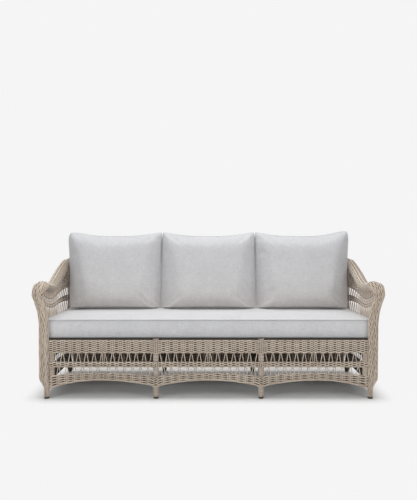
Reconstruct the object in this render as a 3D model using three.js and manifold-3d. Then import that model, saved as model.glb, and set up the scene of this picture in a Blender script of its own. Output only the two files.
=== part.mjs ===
// Three-seat garden sofa: woven rattan over a welded tube frame, with loose cushions.
// Millimetres, +Z up, the front faces -Y and +X is to the right as seen from the front.
// Depths are counted from the front face, and the finished group is centred at the end.
import * as THREE from 'three';
import { mergeVertices } from 'three/addons/utils/BufferGeometryUtils.js';
import Module from 'manifold-3d';

const wasm = await Module();
wasm.setup();

// Clearances
const gap = 0.3;
const overrun = 5;

// Plan of the frame
const wallHalfWidth = 998;
const wallDepth = 725;
const wallThickness = 10;
const cornerInset = 14.6;
const backLean = 60;
const armLean = 3;

// Heights
const seatLevel = 363;
const glideHeight = 12;

// Front corner posts, whose inner face stands in from the middle of the arm wall
const postInset = 44;
const postInner = wallHalfWidth - postInset;
const postWidth = 59;
const postThickness = 34;
const footWidth = 31;
const footTop = 66;
const footFlareTop = 122;
const postFlareRise = 92;
const postFlareBase = seatLevel + postFlareRise;
const postFlare = 38;
const postFlareMiddleShare = 0.3;
const postSquareness = 2.8;
const armEndHeight = 672;
const armTurnRadius = 57;
const domeWidth = 95;
const domeShare = 0.75;

// Legs and rear posts. The middle legs part the width into three bays.
const midLegShare = 0.31563;
const midLegOffset = wallHalfWidth * midLegShare;
const midLegDepth = 18;
const midLegRadius = 17.5;
const midCoreRadius = 11;
const cornerPostRadius = 19;
const coreRadius = 12;
const coreWall = 2;
const glideFlangeRadius = 15;
const glidePlugLength = 16;
const coreSetback = 4;

// Rolled rail: it dips behind the front post and then sweeps up to the back. The stations are shares of
// the arm's run, the dip shares are of armDip above the lowest point, and the rise shares are of armRise.
const rollHalfWidth = 35;
const rollHalfHeight = 26;
const rollSquareness = 2.2;
const rollCornerRadius = 60;
const rollTubeRadius = 11;
const armDip = 30;
const armRise = 127;
const armStationShares = [0, 0.117, 0.224, 0.332, 0.47, 0.608, 0.773, 0.885, 1];
const armDipShares = [1, 0.4, 0.03, 0];
const armRiseShares = [0.189, 0.441, 0.7, 0.858, 1];
const cornerRollRise = 12;
const backRollRise = 40;

// Seat frame
const railWidth = 20;
const railHeight = 40;
const railWall = 2;
const bearerWidth = 25;
const bearerHeight = 20;
const outerBearerShare = 0.62826;
const bearerShares = [-outerBearerShare, -midLegShare, 0, midLegShare, outerBearerShare];
const deckThickness = 4.4;
const deckFrontMargin = 2;
const railTop = seatLevel - deckThickness - 2 * gap;

// Front skirt
const skirtDepth = 13;
const skirtBandHeight = 86;
const skirtBandBottom = seatLevel - skirtBandHeight;
const skirtMidTop = 221;
const skirtMidBottom = 190;
const hemTopAtLeg = 136;
const hemTopAtMiddle = 154;
const hemBottomAtLeg = 77;
const hemBottomAtPost = 60;
const hemBottomAtMiddle = 112;
const rearHemBottom = 60;
const strandPitch = 45;
const armStrandPitch = 60;
const rearStrandPitch = 66;
const stakeWidth = 16;
const bayEdgeAtLeg = 4.7;
const bayEdgeAtPost = 34.5;
const archFullness = 0.8;

// Arm and back walls: where their woven bands and open rows lie, as shares of the wall's height
const armLevelsAtFrontShares = [0, 0.3, 0.62, 0.68, 0.83, 1];
const armLevelsAtBackShares = [0, 0.27, 0.475, 0.565, 0.775, 1];
const backLevelsShares = [0, 0.27, 0.475, 0.565, 0.775, 1];
const wallFrontDrop = 72;
const wallFrontTop = armEndHeight - wallFrontDrop;

// One open cell between two strands: the corners of its opening, as shares of the cell
const openingShares = [[0.27, 0.05], [0.73, 0.05], [0.94, 0.95], [0.06, 0.95]];

// Seat cushion, which fills the seat between the arm walls
const seatCushionSideMargin = 13;
const seatCushionFrontMargin = 3;
const seatCushionBackMargin = 37;
const seatCushionHalfWidth = wallHalfWidth - seatCushionSideMargin;
const seatCushionFront = postThickness + seatCushionFrontMargin;
const seatCushionBack = wallDepth - seatCushionBackMargin;
const seatCushionThickness = 107;
const seatCushionCrown = 10;
const seatCushionPull = 5;
const seatCrownPowers = [12, 4];
const seatPullPowers = [6, 2];
const seatGrid = [14, 8];
const seatGridEase = 0.8;

// Back cushions, three side by side
const backCushionSideMargin = 35;
const backCushionSpacing = 3;
const backCushionNames = ['left', 'middle', 'right'];
const backCushionRun = 2 * (wallHalfWidth - backCushionSideMargin) + backCushionSpacing;
const backCushionPitch = backCushionRun / backCushionNames.length;
const backCushionWidth = backCushionPitch - backCushionSpacing;
const backCushionHeight = 560;
const backCushionThickness = 240;
const backCushionSetIn = 122;
const backCushionDepth = wallDepth - backCushionSetIn;
const backCushionTilt = THREE.MathUtils.degToRad(14);
const backCushionSidePull = 3;
const backCushionTopPull = 28;
const backCushionSlump = 60;
const backCushionSettle = 33;
const backCushionTaper = 26;
const backCornerPull = 12;
const backCrownPowers = [8, 6];
const backTopPower = 2.5;
const backCornerPower = 10;
const backPuffPower = 0.5;
const backSlumpPower = 2;
const backSlumpLossShare = 0.5;
const backGrid = [12, 10];

// Colours and finishes
const rattan = { color: 0xb3a594, roughness: 0.75, metalness: 0 };
const aluminium = { color: 0x9a9a98, roughness: 0.45, metalness: 0.9 };
const glidePlastic = { color: 0x2a2624, roughness: 0.6, metalness: 0 };
const seatFabric = { color: 0xd6d3d0, roughness: 0.92, metalness: 0 };
const backFabric = { color: 0xcfccc9, roughness: 0.92, metalness: 0 };

const sofa = new THREE.Group();

function addPiece(name, geometry, finish) {
  const mesh = new THREE.Mesh(geometry, new THREE.MeshStandardMaterial(finish));
  mesh.name = name;
  sofa.add(mesh);
  return mesh;
}

const sides = [['left', -1], ['right', 1]];

// Mesh building

function geometryOf(points, faces) {
  const geometry = new THREE.BufferGeometry();
  geometry.setAttribute('position', new THREE.Float32BufferAttribute(points.flat(), 3));
  geometry.setIndex(faces.flat());
  return outward(geometry);
}

// Turns the faces of a closed mesh outward, by the sign of its volume.
function outward(geometry) {
  const position = geometry.getAttribute('position');
  const index = geometry.getIndex().array;
  const corner = [new THREE.Vector3(), new THREE.Vector3(), new THREE.Vector3()];
  let volume = 0;
  for (let k = 0; k < index.length; k += 3) {
    corner.forEach((point, n) => point.fromBufferAttribute(position, index[k + n]));
    volume += corner[0].dot(corner[1].cross(corner[2]));
  }
  if (volume < 0) {
    for (let k = 0; k < index.length; k += 3) {
      [index[k], index[k + 1]] = [index[k + 1], index[k]];
    }
  }
  return geometry;
}

function mirrored(geometry) {
  const copy = geometry.clone();
  copy.applyMatrix4(new THREE.Matrix4().makeScale(-1, 1, 1));
  return outward(copy);
}

function forSide(geometry, side) {
  return side < 0 ? mirrored(geometry) : geometry;
}

// Skins a row of rings with equal point counts and closes both ends.
function loft(rings) {
  const count = rings[0].length;
  const points = rings.flat();
  const faces = [];
  for (let r = 0; r + 1 < rings.length; r += 1) {
    for (let k = 0; k < count; k += 1) {
      const next = (k + 1) % count;
      const a = r * count + k;
      const b = r * count + next;
      faces.push([a, b, b + count], [a, b + count, a + count]);
    }
  }
  const last = (rings.length - 1) * count;
  for (let k = 1; k + 1 < count; k += 1) {
    faces.push([0, k + 1, k], [last, last + k, last + k + 1]);
  }
  return geometryOf(points, faces);
}

// Skins a row of rings whose last ring meets the first, as the wall of a hollow tube.
function ringTube(outerRings, innerRings) {
  const loops = [...outerRings, ...innerRings.slice().reverse()];
  const count = loops[0].length;
  const faces = [];
  loops.forEach((_, r) => {
    const following = (r + 1) % loops.length;
    for (let k = 0; k < count; k += 1) {
      const next = (k + 1) % count;
      const a = r * count + k;
      const b = r * count + next;
      const c = following * count + next;
      const d = following * count + k;
      faces.push([a, b, c], [a, c, d]);
    }
  });
  return geometryOf(loops.flat(), faces);
}

// A ring of a rounded section: squareness 2 is an ellipse, and more is boxier.
function sectionRing(centre, across, up, halfWidth, halfHeight, squareness, count) {
  const ring = [];
  for (let k = 0; k < count; k += 1) {
    const angle = (2 * Math.PI * (k + 0.5)) / count;
    const c = Math.cos(angle);
    const s = Math.sin(angle);
    const u = Math.sign(c) * Math.abs(c) ** (2 / squareness) * halfWidth;
    const v = Math.sign(s) * Math.abs(s) ** (2 / squareness) * halfHeight;
    ring.push(centre.clone().addScaledVector(across, u).addScaledVector(up, v).toArray());
  }
  return ring;
}

// A many-sided ring whose flats lie on the circle, so that what touches the circle touches the flats.
function roundRing(centre, across, up, radius, count) {
  const corner = radius / Math.cos(Math.PI / count);
  return sectionRing(centre, across, up, corner, corner, 2, count);
}

// Rings of one radius along a path, square to it. ends gives the path's direction at its two ends, where
// that differs from its last steps, and the direction that the rings are turned by, never the path's own.
function pathRings(path, radius, count, ends = {}) {
  return path.map((point, k) => {
    const before = path[Math.max(k - 1, 0)];
    const after = path[Math.min(k + 1, path.length - 1)];
    const stated = (k === 0 && ends.first) || (k === path.length - 1 && ends.last);
    const along = stated || after.clone().sub(before).normalize();
    const across = (ends.turn || new THREE.Vector3(1, 0, 0)).clone();
    across.addScaledVector(along, -across.dot(along)).normalize();
    return roundRing(point, across, across.clone().cross(along), radius, count);
  });
}

const tubeSides = 8;

function hollowTube(path, radius, ends) {
  const outer = pathRings(path, radius, tubeSides, ends);
  return ringTube(outer, pathRings(path, radius - coreWall, tubeSides, ends));
}

// The same run with clearance round it, and a further ring past each end.
function boreAlong(path, radius, ends = {}) {
  const rings = pathRings(path, radius + gap, tubeSides, ends);
  const last = path.length - 1;
  const first = ends.first || path[1].clone().sub(path[0]).normalize();
  const final = ends.last || path[last].clone().sub(path[last - 1]).normalize();
  const moved = (ring, along, reach) => ring.map((point) => (
    new THREE.Vector3(...point).addScaledVector(along, reach).toArray()
  ));
  return loft([moved(rings[0], first, -overrun), ...rings, moved(rings[last], final, overrun)]);
}

function boxBetween(low, high) {
  const size = low.map((value, n) => high[n] - value);
  const box = new THREE.BoxGeometry(...size);
  box.translate(...low.map((value, n) => value + size[n] / 2));
  return box;
}

// Cuts with shared vertices merged, which a boolean needs.
function solidOf(geometry) {
  const bare = geometry.clone();
  bare.deleteAttribute('normal');
  bare.deleteAttribute('uv');
  const merged = mergeVertices(bare);
  const vertProperties = new Float32Array(merged.getAttribute('position').array);
  const triVerts = new Uint32Array(merged.getIndex().array);
  return new wasm.Manifold(new wasm.Mesh({ numProp: 3, vertProperties, triVerts }));
}

function cut(geometry, ...tools) {
  let solid = solidOf(geometry);
  tools.forEach((tool) => {
    solid = solid.subtract(solidOf(tool));
  });
  const mesh = solid.getMesh();
  const result = new THREE.BufferGeometry();
  const { numProp, vertProperties, triVerts } = mesh;
  const position = [];
  for (let k = 0; k < vertProperties.length; k += numProp) {
    position.push(vertProperties[k], vertProperties[k + 1], vertProperties[k + 2]);
  }
  result.setAttribute('position', new THREE.Float32BufferAttribute(position, 3));
  result.setIndex(Array.from(triVerts));
  return result;
}

// Rolled rail: its centre line over the arm, round the corner and along the back

const rollX = wallHalfWidth + armLean;
const rollBackDepth = wallDepth + backLean;

const cornerStart = rollBackDepth - rollCornerRadius;
const cornerX = rollX - rollCornerRadius;
const postDepthCentre = postThickness / 2;
const armEnd = postDepthCentre + armTurnRadius;
const dipHeight = armEndHeight - armDip;
const armHeights = [
  ...armDipShares.map((share) => dipHeight + armDip * share),
  ...armRiseShares.map((share) => dipHeight + armRise * share),
];
const armDepths = armStationShares.map((share) => armEnd + (cornerStart - armEnd) * share);
const cornerHeight = dipHeight + armRise + cornerRollRise;

// Height of the arm rail's centre at a depth
function armRollHeight(depth) {
  let k = 0;
  while (k < armDepths.length - 2 && depth > armDepths[k + 1]) k += 1;
  const share = (depth - armDepths[k]) / (armDepths[k + 1] - armDepths[k]);
  return THREE.MathUtils.lerp(armHeights[k], armHeights[k + 1], share);
}

function backRollHeight(x) {
  const share = Math.min(Math.abs(x) / cornerX, 1);
  return cornerHeight + backRollRise * (1 - share ** 2);
}

const forward = new THREE.Vector3(0, -1, 0);
const backward = new THREE.Vector3(0, 1, 0);
const armEnds = { last: backward };
const backEnds = { first: backward, last: forward, turn: new THREE.Vector3(0, 0, 1) };

const armRollPath = armDepths.map((depth, k) => new THREE.Vector3(rollX, depth, armHeights[k]));

const cornerSteps = 5;
const backRollSteps = 8;

function backRollPath() {
  const corner = [];
  for (let k = 0; k <= cornerSteps; k += 1) {
    const angle = (Math.PI / 2) * (k / cornerSteps);
    corner.push(new THREE.Vector3(
      cornerX + rollCornerRadius * Math.cos(angle),
      cornerStart + rollCornerRadius * Math.sin(angle),
      cornerHeight - cornerRollRise * (1 - k / cornerSteps),
    ));
  }
  const straight = [];
  for (let k = 1; k < backRollSteps; k += 1) {
    const x = cornerX - (2 * cornerX * k) / backRollSteps;
    straight.push(new THREE.Vector3(x, rollBackDepth, backRollHeight(x)));
  }
  const far = corner.slice().reverse().map((p) => new THREE.Vector3(-p.x, p.y, p.z));
  return [...corner, ...straight, ...far];
}

const rollSides = 14;

// Sections of the rail stand upright, so that its height is the same all along.
function rollRings(path, ends = {}) {
  return path.map((point, k) => {
    const before = path[Math.max(k - 1, 0)];
    const after = path[Math.min(k + 1, path.length - 1)];
    const stated = (k === 0 && ends.first) || (k === path.length - 1 && ends.last);
    const along = stated || after.clone().sub(before);
    const across = new THREE.Vector3(along.y, -along.x, 0).normalize();
    const up = new THREE.Vector3(0, 0, 1);
    return sectionRing(point, across, up, rollHalfWidth, rollHalfHeight, rollSquareness, rollSides);
  });
}

// The rail's outer form set down by the clearance, which trims what comes up under it.
function railShadow(path, ends) {
  const lowered = path.map((point) => point.clone().setZ(point.z - gap));
  return loft(rollRings(lowered, ends));
}

const backPath = backRollPath();
backPath[0].y += gap;
backPath[backPath.length - 1].y += gap;
const backShadow = railShadow(backPath, backEnds);

// Front post: up from the foot, out at the flare and over into the arm

const footCentre = postInner + footWidth / 2;
const turnBase = armEndHeight - armTurnRadius;
const postCentre = postInner + postWidth / 2;
const flaredCentre = postCentre + postFlare;

// Height, centre, width and thickness of the upright part of the post
function postProfile() {
  const footMiddle = (footTop + footFlareTop) / 2;
  const flareMiddle = (postFlareBase + turnBase) / 2;
  return [
    [glideHeight + gap, footCentre, footWidth, footWidth],
    [footTop, footCentre, footWidth, footWidth],
    [footMiddle, (footCentre + postCentre) / 2, (footWidth + postWidth) / 2, postThickness],
    [footFlareTop, postCentre, postWidth, postThickness],
    [postFlareBase, postCentre, postWidth, postThickness],
    [flareMiddle, postCentre + postFlare * postFlareMiddleShare, postWidth, postThickness],
    [turnBase, flaredCentre, postWidth, postThickness],
  ];
}

const postSides = 16;
const turnSteps = 4;

// Centre of the turn from the post into the arm, share 0 at its foot and 1 at the arm
function turnPoint(share) {
  const angle = (Math.PI / 2) * share;
  return new THREE.Vector3(
    THREE.MathUtils.lerp(flaredCentre, rollX, share),
    armEnd - armTurnRadius * Math.cos(angle),
    turnBase + armTurnRadius * Math.sin(angle),
  );
}

// Width of the turn, which swells from the post to the dome and draws in to the rail
function turnWidth(share) {
  if (share < domeShare) return THREE.MathUtils.lerp(postWidth, domeWidth, share / domeShare);
  return THREE.MathUtils.lerp(domeWidth, 2 * rollHalfWidth, (share - domeShare) / (1 - domeShare));
}

function postWrap() {
  const across = new THREE.Vector3(1, 0, 0);
  const rings = postProfile().map(([z, x, width, depth]) => {
    const centre = new THREE.Vector3(x, postDepthCentre, z);
    const up = new THREE.Vector3(0, 1, 0);
    return sectionRing(centre, across, up, width / 2, depth / 2, postSquareness, postSides);
  });
  for (let k = 1; k <= turnSteps; k += 1) {
    const share = k / turnSteps;
    const angle = (Math.PI / 2) * share;
    const up = new THREE.Vector3(0, Math.cos(angle), -Math.sin(angle));
    const width = turnWidth(share);
    const height = THREE.MathUtils.lerp(postThickness, 2 * rollHalfHeight, share);
    const squareness = THREE.MathUtils.lerp(postSquareness, rollSquareness, share);
    rings.push(sectionRing(turnPoint(share), across, up, width / 2, height / 2, squareness, postSides));
  }
  return loft(rings);
}

// Bent tube of the arm: up the front post, over the turn and along under the rolled rail
function armTubePath() {
  const path = [
    new THREE.Vector3(footCentre, postDepthCentre, glideHeight + gap),
    new THREE.Vector3(footCentre, postDepthCentre, postFlareBase),
  ];
  path.push(new THREE.Vector3(flaredCentre - rollTubeRadius, postDepthCentre, turnBase));
  for (let k = 1; k < turnSteps; k += 1) path.push(turnPoint(k / turnSteps));
  return [...path, ...armRollPath];
}

// Posts and legs that stand straight to the seat and, at the back, lean up to the rail

function leaningPath(x, depth, top) {
  return [
    new THREE.Vector3(x, depth, glideHeight + gap),
    new THREE.Vector3(x, depth, seatLevel),
    new THREE.Vector3(x, depth + backLean, top),
  ];
}

const wallTopUnder = rollHalfHeight + 2 * gap;
const cornerPostX = wallHalfWidth - cornerInset;
const cornerPostDepth = wallDepth - cornerInset;
const cornerPostTop = cornerHeight - cornerRollRise / 2 - wallTopUnder;
const midPostTop = backRollHeight(midLegOffset) - wallTopUnder;

// Rings that lie level, so that the post ends flat under the rail.
function levelRings(path, radius, count) {
  const across = new THREE.Vector3(1, 0, 0);
  const up = new THREE.Vector3(0, 1, 0);
  return path.map((point) => roundRing(point, across, up, radius, count));
}

// The metal core of such a post, which stops a little short of the rail.
function coreOf(path) {
  const last = path.length - 1;
  const back = path[last - 1].clone().sub(path[last]).normalize();
  return [...path.slice(0, last), path[last].clone().addScaledVector(back, coreSetback)];
}

const legSides = 12;

function glide(radius) {
  const plug = radius - coreWall - gap;
  const profile = [
    [0, 0],
    [glideFlangeRadius - coreWall, 0],
    [glideFlangeRadius, coreWall],
    [glideFlangeRadius, glideHeight],
    [plug, glideHeight],
    [plug, glideHeight + glidePlugLength],
    [0, glideHeight + glidePlugLength],
  ];
  const lathe = new THREE.LatheGeometry(profile.map(([r, z]) => new THREE.Vector2(r, z)), legSides);
  lathe.rotateX(Math.PI / 2);
  return lathe;
}

// Seat frame

const railBottom = railTop - railHeight;
const frontRailFront = postDepthCentre + coreRadius + gap;
const frontRailBack = frontRailFront + railWidth;
const rearRailBack = wallDepth - midCoreRadius - gap;
const rearRailFront = rearRailBack - railWidth;
const sideRailOuter = wallHalfWidth - wallThickness / 2 - gap;
const sideRailInner = sideRailOuter - railWidth;
const sideRailEnd = cornerPostDepth - coreRadius - gap;
const rearRailEnd = cornerPostX - coreRadius - gap;

function frameRail(low, high) {
  const axis = [0, 1, 2].reduce((best, n) => (high[n] - low[n] > high[best] - low[best] ? n : best), 0);
  const inner = low.map((value, n) => (n === axis ? value - overrun : value + railWall));
  const outer = high.map((value, n) => (n === axis ? value + overrun : value - railWall));
  return cut(boxBetween(low, high), boxBetween(inner, outer));
}

function grown(low, high) {
  return boxBetween(low.map((value) => value - gap), high.map((value) => value + gap));
}

const rails = {
  seat_rail_front: [[-sideRailOuter, frontRailFront, railBottom], [sideRailOuter, frontRailBack, railTop]],
  seat_rail_rear: [[-rearRailEnd, rearRailFront, railBottom], [rearRailEnd, rearRailBack, railTop]],
  seat_rail_left: [[-sideRailOuter, frontRailBack + gap, railBottom], [-sideRailInner, sideRailEnd, railTop]],
  seat_rail_right: [[sideRailInner, frontRailBack + gap, railBottom], [sideRailOuter, sideRailEnd, railTop]],
};
Object.entries(rails).forEach(([name, [low, high]]) => {
  addPiece(name, frameRail(low, high), aluminium);
});
bearerShares.forEach((share, k) => {
  const x = wallHalfWidth * share;
  const low = [x - bearerWidth / 2, frontRailBack + gap, railTop - bearerHeight];
  const high = [x + bearerWidth / 2, rearRailFront - gap, railTop];
  addPiece(`seat_bearer_${k + 1}`, frameRail(low, high), aluminium);
});

function seatDeck() {
  const front = postThickness + deckFrontMargin;
  const rear = wallDepth - midLegRadius - deckFrontMargin;
  const notchDepth = cornerPostDepth - cornerPostRadius - deckFrontMargin;
  const notchX = cornerPostX - cornerPostRadius - deckFrontMargin;
  const outline = [
    [-sideRailOuter, front],
    [sideRailOuter, front],
    [sideRailOuter, notchDepth],
    [notchX, notchDepth],
    [notchX, rear],
    [-notchX, rear],
    [-notchX, notchDepth],
    [-sideRailOuter, notchDepth],
  ];
  const shape = new THREE.Shape(outline.map(([x, y]) => new THREE.Vector2(x, y)));
  const deck = new THREE.ExtrudeGeometry(shape, { depth: deckThickness, bevelEnabled: false });
  deck.translate(0, 0, railTop + gap);
  return deck;
}
addPiece('seat_deck', seatDeck(), rattan);

// Posts, legs, cores and glides

const notches = Object.values(rails).map(([low, high]) => grown(low, high));

sides.forEach(([name, side]) => {
  const tube = armTubePath();
  const wrap = cut(postWrap(), boreAlong(tube, rollTubeRadius, armEnds), ...notches);
  addPiece(`front_post_${name}`, forSide(wrap, side), rattan);
  addPiece(`arm_tube_${name}`, forSide(hollowTube(tube, rollTubeRadius, armEnds), side), aluminium);
  const rollPath = armRollPath.map((point) => point.clone());
  rollPath[0].y += gap;
  const roll = cut(loft(rollRings(rollPath)), boreAlong(tube, rollTubeRadius, armEnds));
  addPiece(`arm_roll_${name}`, forSide(roll, side), rattan);

  const cornerPath = leaningPath(cornerPostX, cornerPostDepth, cornerPostTop);
  const corner = cut(
    loft(levelRings(cornerPath, cornerPostRadius, legSides)),
    boreAlong(cornerPath, coreRadius),
    backShadow,
    ...notches,
  );
  addPiece(`rear_corner_post_${name}`, forSide(corner, side), rattan);
  addPiece(`rear_corner_core_${name}`, forSide(hollowTube(coreOf(cornerPath), coreRadius), side), aluminium);

  const rearPath = leaningPath(midLegOffset, wallDepth, midPostTop);
  const rear = cut(
    loft(levelRings(rearPath, midLegRadius, legSides)),
    boreAlong(rearPath, midCoreRadius),
    backShadow,
    ...notches,
  );
  addPiece(`rear_mid_post_${name}`, forSide(rear, side), rattan);
  addPiece(`rear_mid_core_${name}`, forSide(hollowTube(coreOf(rearPath), midCoreRadius), side), aluminium);

  const frontPath = [
    new THREE.Vector3(midLegOffset, midLegDepth, glideHeight + gap),
    new THREE.Vector3(midLegOffset, midLegDepth, seatLevel),
  ];
  const corePath = [frontPath[0], new THREE.Vector3(midLegOffset, midLegDepth, railTop)];
  const blindPath = [frontPath[0].clone(), corePath[1].clone().setZ(railTop - overrun + gap)];
  const leg = cut(
    loft(levelRings(frontPath, midLegRadius, legSides)),
    boreAlong(blindPath, midCoreRadius),
    ...notches,
  );
  addPiece(`front_mid_leg_${name}`, forSide(leg, side), rattan);
  addPiece(`front_mid_core_${name}`, forSide(hollowTube(corePath, midCoreRadius), side), aluminium);

  const feet = [
    [`glide_front_${name}`, footCentre, postDepthCentre, rollTubeRadius],
    [`glide_front_mid_${name}`, midLegOffset, midLegDepth, midCoreRadius],
    [`glide_rear_${name}`, cornerPostX, cornerPostDepth, coreRadius],
    [`glide_rear_mid_${name}`, midLegOffset, wallDepth, midCoreRadius],
  ];
  feet.forEach(([foot, x, depth, radius]) => {
    addPiece(foot, glide(radius), glidePlastic).position.set(side * x, depth, 0);
  });
});

addPiece('back_tube', hollowTube(backPath, rollTubeRadius, backEnds), aluminium);
const backBore = boreAlong(backPath, rollTubeRadius, backEnds);
addPiece('back_roll', cut(loft(rollRings(backPath, backEnds)), backBore), rattan);

// Woven walls: five rows each, of which the second and the fourth are open
const rowCount = 5;
const openRows = [1, 3];

// A wall of cells. place(column, level) gives the middle of the wall at a corner of the cells, normal is
// the way its thickness goes, and open(column, row) says which cells hold an opening between two strands.
function wovenWall(columns, levels, place, normal, open) {
  const points = [];
  const faces = [];
  const push = (point) => points.push(point.toArray()) - 1;
  const skins = [0.5, -0.5].map((share) => {
    const offset = normal.clone().multiplyScalar(share * wallThickness);
    const grid = [];
    for (let i = 0; i <= columns; i += 1) {
      grid.push([]);
      for (let j = 0; j <= levels; j += 1) {
        grid[i].push(push(place(i, j).add(offset)));
      }
    }
    return { offset, grid };
  });
  const quad = (a, b, c, d) => faces.push([a, b, c], [a, c, d]);
  for (let i = 0; i < columns; i += 1) {
    for (let j = 0; j < levels; j += 1) {
      const isOpen = open(i, j);
      const holes = skins.map(({ offset }) => (isOpen ? openingShares.map(([u, v]) => {
        const low = place(i, j).lerp(place(i + 1, j), u);
        const high = place(i, j + 1).lerp(place(i + 1, j + 1), u);
        return push(low.lerp(high, v).add(offset));
      }) : []));
      skins.forEach(({ grid }, k) => {
        const ring = [grid[i][j], grid[i + 1][j], grid[i + 1][j + 1], grid[i][j + 1]];
        if (k === 1) ring.reverse();
        if (!isOpen) {
          quad(...ring);
          return;
        }
        const hole = k === 1 ? holes[1].slice().reverse() : holes[0];
        ring.forEach((corner, n) => {
          const next = (n + 1) % ring.length;
          quad(corner, ring[next], hole[next], hole[n]);
        });
      });
      holes[0].forEach((corner, n) => {
        const next = (n + 1) % openingShares.length;
        quad(holes[1][n], corner, holes[0][next], holes[1][next]);
      });
    }
  }
  const [front, back] = skins.map(({ grid }) => grid);
  for (let i = 0; i < columns; i += 1) {
    quad(back[i][0], back[i + 1][0], front[i + 1][0], front[i][0]);
    quad(front[i][levels], front[i + 1][levels], back[i + 1][levels], back[i][levels]);
  }
  for (let j = 0; j < levels; j += 1) {
    quad(front[0][j], front[0][j + 1], back[0][j + 1], back[0][j]);
    quad(back[columns][j], back[columns][j + 1], front[columns][j + 1], front[columns][j]);
  }
  return geometryOf(points, faces);
}

// Column edges of a bay: an edge, open cells, a slim stake in the middle, open cells and an edge.
function bayColumns(start, end, startEdge, endEdge, pitch) {
  const stake = (start + startEdge + end - endEdge) / 2;
  const columns = [[start, false]];
  const addCells = (from, to) => {
    const cells = Math.max(Math.round((to - from) / pitch), 1);
    for (let k = 0; k < cells; k += 1) columns.push([from + ((to - from) * k) / cells, true]);
  };
  addCells(start + startEdge, stake - stakeWidth / 2);
  columns.push([stake - stakeWidth / 2, false]);
  addCells(stake + stakeWidth / 2, end - endEdge);
  columns.push([end - endEdge, false], [end, false]);
  return columns;
}

// Skirt: bands and open rows over a hem, given by its lower edge at its two ends and in the middle
function skirt(columns, place, normal, [hemStart, hemMiddle, hemEnd]) {
  const first = columns[0][0];
  const span = columns[columns.length - 1][0] - first;
  const heights = (along) => {
    const share = (along - first) / span;
    const arch = Math.sin(Math.PI * share) ** archFullness;
    const hemSide = THREE.MathUtils.lerp(hemStart, hemEnd, share);
    return [
      hemSide + (hemMiddle - hemSide) * arch,
      hemTopAtLeg + (hemTopAtMiddle - hemTopAtLeg) * arch,
      skirtMidBottom,
      skirtMidTop,
      skirtBandBottom,
      seatLevel,
    ];
  };
  return wovenWall(
    columns.length - 1,
    rowCount,
    (i, j) => place(columns[i][0], heights(columns[i][0])[j]),
    normal,
    (i, j) => columns[i][1] && openRows.includes(j),
  );
}

const legSeat = midLegRadius + gap;
const cornerSeat = cornerPostRadius + gap;

function skirtBay(start, end, startEdge, endEdge, pitch, depth, normal, hem) {
  const columns = bayColumns(start, end, startEdge, endEdge, pitch);
  return skirt(columns, (x, z) => new THREE.Vector3(x, depth, z), normal, hem);
}

const frontInner = midLegOffset + legSeat;
const frontOuter = postInner - gap;
const frontOuterBay = skirtBay(
  frontInner, frontOuter, bayEdgeAtLeg, bayEdgeAtPost, strandPitch, skirtDepth, forward,
  [hemBottomAtLeg, hemBottomAtMiddle, hemBottomAtPost],
);
const middleBay = [-midLegOffset + legSeat, midLegOffset - legSeat, bayEdgeAtLeg, bayEdgeAtLeg];
const middleHem = [hemBottomAtLeg, hemBottomAtMiddle, hemBottomAtLeg];
const frontMiddleBay = skirtBay(...middleBay, strandPitch, skirtDepth, forward, middleHem);
const rearOuter = cornerPostX - cornerSeat;
const rearHem = [rearHemBottom, rearHemBottom, rearHemBottom];
const rearOuterBay = skirtBay(
  frontInner, rearOuter, bayEdgeAtLeg, bayEdgeAtPost, rearStrandPitch, wallDepth, backward, rearHem,
);
const rearMiddleBay = skirtBay(...middleBay, rearStrandPitch, wallDepth, backward, rearHem);
const sideBay = skirt(
  bayColumns(postThickness + gap, cornerPostDepth - cornerSeat, bayEdgeAtLeg, bayEdgeAtLeg, rearStrandPitch),
  (y, z) => new THREE.Vector3(wallHalfWidth, y, z),
  new THREE.Vector3(1, 0, 0),
  rearHem,
);
addPiece('front_skirt_middle', frontMiddleBay, rattan);
addPiece('rear_skirt_middle', rearMiddleBay, rattan);
sides.forEach(([name, side]) => {
  addPiece(`front_skirt_${name}`, forSide(frontOuterBay, side), rattan);
  addPiece(`rear_skirt_${name}`, forSide(rearOuterBay, side), rattan);
  addPiece(`side_skirt_${name}`, forSide(sideBay, side), rattan);
});

// Walls above the seat

const isOpenRow = (i, j) => openRows.includes(j);

function armWall() {
  const start = postThickness + gap;
  const end = cornerPostDepth - cornerSeat;
  const columns = Math.round((end - start) / armStrandPitch);
  const place = (i, j) => {
    const along = i / columns;
    const share = THREE.MathUtils.lerp(armLevelsAtFrontShares[j], armLevelsAtBackShares[j], along);
    const leanAtEnd = (backLean * share * i) / columns;
    const depth = start + (end - start) * along + leanAtEnd;
    const under = armRollHeight(Math.max(depth, armEnd)) - wallTopUnder;
    const top = i === 0 ? wallFrontTop : under;
    return new THREE.Vector3(
      wallHalfWidth + armLean * share,
      depth,
      seatLevel + gap + (top - seatLevel - gap) * share,
    );
  };
  const wall = wovenWall(columns, rowCount, place, new THREE.Vector3(1, 0, 0), isOpenRow);
  return cut(wall, railShadow(armRollPath), backShadow);
}

function backWall(start, end) {
  const columns = Math.round((end - start) / rearStrandPitch);
  const place = (i, j) => {
    const x = start + ((end - start) * i) / columns;
    const share = backLevelsShares[j];
    const top = backRollHeight(x) - wallTopUnder;
    return new THREE.Vector3(
      x,
      wallDepth + backLean * share,
      seatLevel + gap + (top - seatLevel - gap) * share,
    );
  };
  return cut(wovenWall(columns, rowCount, place, backward, isOpenRow), backShadow);
}

addPiece('back_wall_middle', backWall(-midLegOffset + legSeat, midLegOffset - legSeat), rattan);
const armWallRight = armWall();
const backWallRight = backWall(frontInner, rearOuter);
sides.forEach(([name, side]) => {
  addPiece(`arm_wall_${name}`, forSide(armWallRight, side), rattan);
  addPiece(`back_wall_${name}`, forSide(backWallRight, side), rattan);
});

// Cushions

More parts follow.
